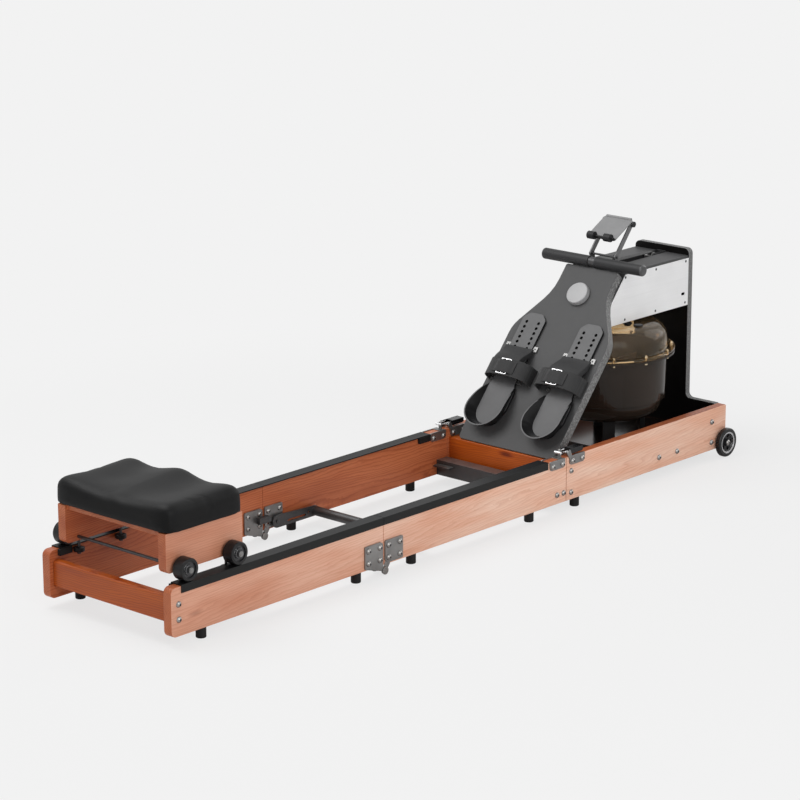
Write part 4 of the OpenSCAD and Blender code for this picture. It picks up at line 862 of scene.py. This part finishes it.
def ease_in(t):
    """Runs smoothly from 0 to 1 as t does."""
    t = min(1.0, max(0.0, t))
    return t * t * (3 - 2 * t)


def pad_height(y, down):
    """Height of a toe pad's underside, which lies flat at its top and then lifts under the strap."""
    under_strap = arch_height(y) - STRAP_HALF_T - CLOTH_T - PAD_GAP
    return PAD_H + (under_strap - PAD_H) * ease_in(down / PAD_LIFT)


def pad_row(down):
    """One line across a toe pad with its turned-down sides, as points across and off the board."""
    ys = [FOOT_Y + PAD_HALF * math.sin(math.pi / 2 * t) for t in np.linspace(-1, 1, PAD_COLS)]
    line = [(y, pad_height(y, down)) for y in ys]
    near, far = (max(PAD_SKIRT, height - PAD_FOLD) for _, height in (line[0], line[-1]))
    return [(ys[0] - PAD_FLARE, near)] + line + [(ys[-1] + PAD_FLARE, far)]


def tail_height(y):
    """Height of a strap tail's underside, which passes over the buckle's middle wire."""
    over_strap = arch_height(y) + STRAP_HALF_T + TAIL_GAP
    past_level = max(0.0, abs(y - STRAP_MIDDLE) - TAIL_FLAT)
    return max(over_strap, TAIL_H - TAIL_SLOPE * past_level)


def cloth_piece(name, rows, finish):
    """A thin sheet on both footrests, from rows of points along, across and off the board. The
    faces look away from the board, and the sheet's thickness goes that way."""
    mesh = bmesh.new()
    for side in (-1, 1):
        grid = [[mesh.verts.new(on_board(along, side * y, off)) for along, y, off in row] for row in rows]
        for i in range(len(rows) - 1):
            for j in range(len(rows[0]) - 1):
                quad = [grid[i][j], grid[i + 1][j], grid[i + 1][j + 1], grid[i][j + 1]]
                mesh.faces.new(quad[::-side])
    data = finished_mesh(name, mesh)
    data.materials.append(finish_of[finish])
    piece = placed(name, data)
    wall = piece.modifiers.new("thickness", "SOLIDIFY")
    wall.thickness = CLOTH_T / 1000
    wall.offset = 1
    round_off = piece.modifiers.new("rounded_edges", "BEVEL")
    round_off.width = CLOTH_ROUND / 1000
    round_off.segments = 2
    round_off.limit_method = "ANGLE"
    data.polygons.foreach_set("use_smooth", [True] * len(data.polygons))
    data.set_sharp_from_angle(angle=CLOTH_SHARP)
    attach(piece, body_of("foot_straps"))


def make_pads_and_tails():
    downs = np.linspace(0, PAD_REACH, PAD_ROWS)
    pad_rows = [[(PAD_TOP_S - down, y, off) for y, off in pad_row(down)] for down in downs]
    cloth_piece("toe_pads", pad_rows, "pad_cover")
    ys = np.linspace(STRAP_MIDDLE - TAIL_HALF_Y, STRAP_MIDDLE + TAIL_HALF_Y, TAIL_COLS)
    alongs = np.linspace(STRAP_S + TAIL_HALF_W, STRAP_S - TAIL_HALF_W, TAIL_ROWS)
    tail_rows = [[(along, y, tail_height(y)) for y in ys] for along in alongs]
    cloth_piece("strap_tails", tail_rows, "strap_across")


make_pads_and_tails()


# Key sockets on the bolts, and grips on the filler caps, which a node tree puts on points

# The prisms' own sizes, in metres
SOCKET_R = 0.0027
SOCKET_H = 0.0005
GRIP_R = 0.0011
GRIP_H = 0.0034
# A bolt's points this near to its end, in metres, belong to that end
END_BAND = 0.0004
# The filler caps, in the machine's millimetres: their radius, the middle height of their grips,
# and their places from the tank's axis
CAP_R = 12.0
CAP_GRIP_Z = 407.5
CAP_GRIPS = 24
CAP_PLACES = ((-7.0, -81.0), (-8.0, -119.0))


def prism_tree():
    """Puts a prism on each point, with its axis along the point's facing."""
    tree = bpy.data.node_groups.new("prisms_on_points", "GeometryNodeTree")
    tree.interface.new_socket("Geometry", in_out="INPUT", socket_type="NodeSocketGeometry")
    for name, kind in (("Radius", "Float"), ("Height", "Float"), ("Sides", "Int"), ("Finish", "Material")):
        tree.interface.new_socket(name, in_out="INPUT", socket_type="NodeSocket" + kind)
    tree.interface.new_socket("Geometry", in_out="OUTPUT", socket_type="NodeSocketGeometry")
    given = tree.nodes.new("NodeGroupInput").outputs
    made = tree.nodes.new("NodeGroupOutput").inputs
    prism = tree.nodes.new("GeometryNodeMeshCylinder")
    tree.links.new(given["Radius"], prism.inputs["Radius"])
    tree.links.new(given["Height"], prism.inputs["Depth"])
    tree.links.new(given["Sides"], prism.inputs["Vertices"])
    facing = tree.nodes.new("GeometryNodeInputNamedAttribute")
    facing.data_type = "FLOAT_VECTOR"
    facing.inputs["Name"].default_value = "facing"
    turn = tree.nodes.new("FunctionNodeAlignRotationToVector")
    turn.axis = "Z"
    tree.links.new(facing.outputs["Attribute"], turn.inputs["Vector"])
    copies = tree.nodes.new("GeometryNodeInstanceOnPoints")
    tree.links.new(given["Geometry"], copies.inputs["Points"])
    tree.links.new(prism.outputs["Mesh"], copies.inputs["Instance"])
    tree.links.new(turn.outputs["Rotation"], copies.inputs["Rotation"])
    solid = tree.nodes.new("GeometryNodeRealizeInstances")
    tree.links.new(copies.outputs["Instances"], solid.inputs["Geometry"])
    finish = tree.nodes.new("GeometryNodeSetMaterial")
    tree.links.new(solid.outputs["Geometry"], finish.inputs["Geometry"])
    tree.links.new(given["Finish"], finish.inputs["Material"])
    tree.links.new(finish.outputs["Geometry"], made["Geometry"])
    return tree


def prisms(name, tree, points, node, slot, **sizes):
    """A piece of prisms on points, each a place in metres and the way it faces."""
    cloud = bpy.data.meshes.new(name + "_points")
    cloud.from_pydata([place for place, _ in points], [], [])
    facing = cloud.attributes.new("facing", "FLOAT_VECTOR", "POINT")
    facing.data.foreach_set("vector", [c for _, way in points for c in way])
    piece = placed(name, cloud)
    repeat = piece.modifiers.new("prisms", "NODES")
    repeat.node_group = tree
    for socket in tree.interface.items_tree:
        if socket.in_out == "INPUT" and socket.name in sizes:
            repeat[socket.identifier] = sizes[socket.name]
    piece.data = applied(piece)
    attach(piece, body_of(node))


def loose_parts(mesh):
    """The points of each of a mesh's separate parts, found from point to neighbour."""
    found = set()
    for start in mesh.verts:
        if start in found:
            continue
        found.add(start)
        part = [start]
        for vert in part:
            for edge in vert.link_edges:
                neighbour = edge.other_vert(vert)
                if neighbour not in found:
                    found.add(neighbour)
                    part.append(neighbour)
        yield part


def bolt_tops(node):
    """The top of each of a node's dome bolts across the machine, and the way it faces. It is
    the end whose points keep closer to the bolt's axis, or are fewer."""
    mesh = bmesh.new()
    mesh.from_mesh(frame["nodes"][node].data)
    bmesh.ops.remove_doubles(mesh, verts=mesh.verts, dist=WELD)
    tops = []
    for part in loose_parts(mesh):
        places = [vert.co for vert in part]
        middle = sum(places, Vector()) / len(places)
        low, high = min(p.y for p in places), max(p.y for p in places)
        spread_low = sum(abs(p.x - middle.x) for p in places if p.y < low + END_BAND)
        spread_high = sum(abs(p.x - middle.x) for p in places if p.y > high - END_BAND)
        outward = 1 if spread_high < spread_low else -1
        tops.append(((middle.x, (high if outward > 0 else low), middle.z), (0, outward, 0)))
    mesh.free()
    return tops


def make_repeats():
    tree = prism_tree()
    for node in ("rear_bolts", "frame_bolts"):
        prisms(node + "_sockets", tree, bolt_tops(node), node, "bright_bolts",
               Radius=SOCKET_R, Height=SOCKET_H, Sides=6, Finish=finish_of["screw"])
    grips = []
    for dx, y in CAP_PLACES:
        for turn in np.linspace(0, 2 * math.pi, CAP_GRIPS, endpoint=False):
            place = spot(TANK_X + dx + CAP_R * math.cos(turn), y + CAP_R * math.sin(turn), CAP_GRIP_Z)
            grips.append((place, (0, 0, 1)))
    prisms("cap_grips", tree, grips, "filler_caps", "black_plastic",
           Radius=GRIP_R, Height=GRIP_H, Sides=8, Finish=finish_of["black_plastic"])


make_repeats()


# Floor, world and lamps

FLOOR_COLOUR = (0.86, 0.86, 0.86)
FLOOR_HALF = 14.0
FLOOR_DROP = 0.0005
# To the camera, the floor turns into the plain background between these distances from the
# machine's middle, in metres, and has this share of it from the start
FADE_FROM, FADE_TO = 0.9, 2.2
FADE_START = 0.8


def floor_finish():
    """Matt and pale to the light, and nearly the plain background to the camera."""
    material, tree, shader = new_material("floor")
    give(tree, shader, Base_Color=(*FLOOR_COLOUR, 1), Roughness=0.9, Specular_IOR_Level=0.0)
    glow = add(tree, "Emission", Color=(*BACKGROUND, 1), Strength=1.0)
    away = add(tree, "VectorMath", {"operation": "LENGTH"})
    tree.links.new(add(tree, "TexCoord").outputs["Object"], away.inputs[0])
    fade = add(tree, "MapRange", {"interpolation_type": "SMOOTHSTEP"}, Value=away.outputs["Value"],
               From_Min=FADE_FROM, From_Max=FADE_TO, To_Min=FADE_START, To_Max=1.0)
    path = add(tree, "LightPath")
    seen = reckon(tree, "Math", "MULTIPLY", path.outputs["Is Camera Ray"], fade.outputs["Result"])
    mix = add(tree, "MixShader", Fac=seen)
    tree.links.new(shader.outputs[0], mix.inputs[1])
    tree.links.new(glow.outputs[0], mix.inputs[2])
    tree.links.new(mix.outputs[0], tree.nodes["Material Output"].inputs["Surface"])
    return material


def make_floor():
    corners = [(x * FLOOR_HALF, y * FLOOR_HALF, 0) for x, y in ((-1, -1), (1, -1), (1, 1), (-1, 1))]
    mesh = bpy.data.meshes.new("floor")
    mesh.from_pydata(corners, [], [(0, 1, 2, 3)])
    mesh.materials.append(floor_finish())
    floor = placed("floor", mesh)
    floor.location.z = -FLOOR_DROP


def make_world():
    """A plain background to the camera, in reflections and through the clear plastic, which
    lights the machine with less than its own brightness."""
    world = bpy.data.worlds.new("studio")
    world.use_nodes = True
    bpy.context.scene.world = world
    tree = world.node_tree
    path = add(tree, "LightPath").outputs
    shown = reckon(tree, "Math", "MAXIMUM", path["Is Camera Ray"], path["Is Glossy Ray"])
    shown = reckon(tree, "Math", "MAXIMUM", shown, path["Is Transmission Ray"])
    strength = span(tree, shown, WORLD_STRENGTH, 1.0)
    give(tree, tree.nodes["Background"], Color=(*BACKGROUND, 1), Strength=strength)


def make_lamp(name, direction, power, size, distance):
    data = bpy.data.lights.new(name, "AREA")
    data.energy = power
    data.size = size
    lamp = placed(name, data)
    travel = Vector(direction).normalized()
    lamp.location = Vector(LAMP_TARGET) - travel * distance
    lamp.rotation_euler = travel.to_track_quat("-Z", "Y").to_euler()


make_floor()
make_world()
for lamp_name, lamp_settings in LAMPS.items():
    make_lamp(lamp_name, *lamp_settings)
bpy.context.scene.view_settings.view_transform = "Standard"
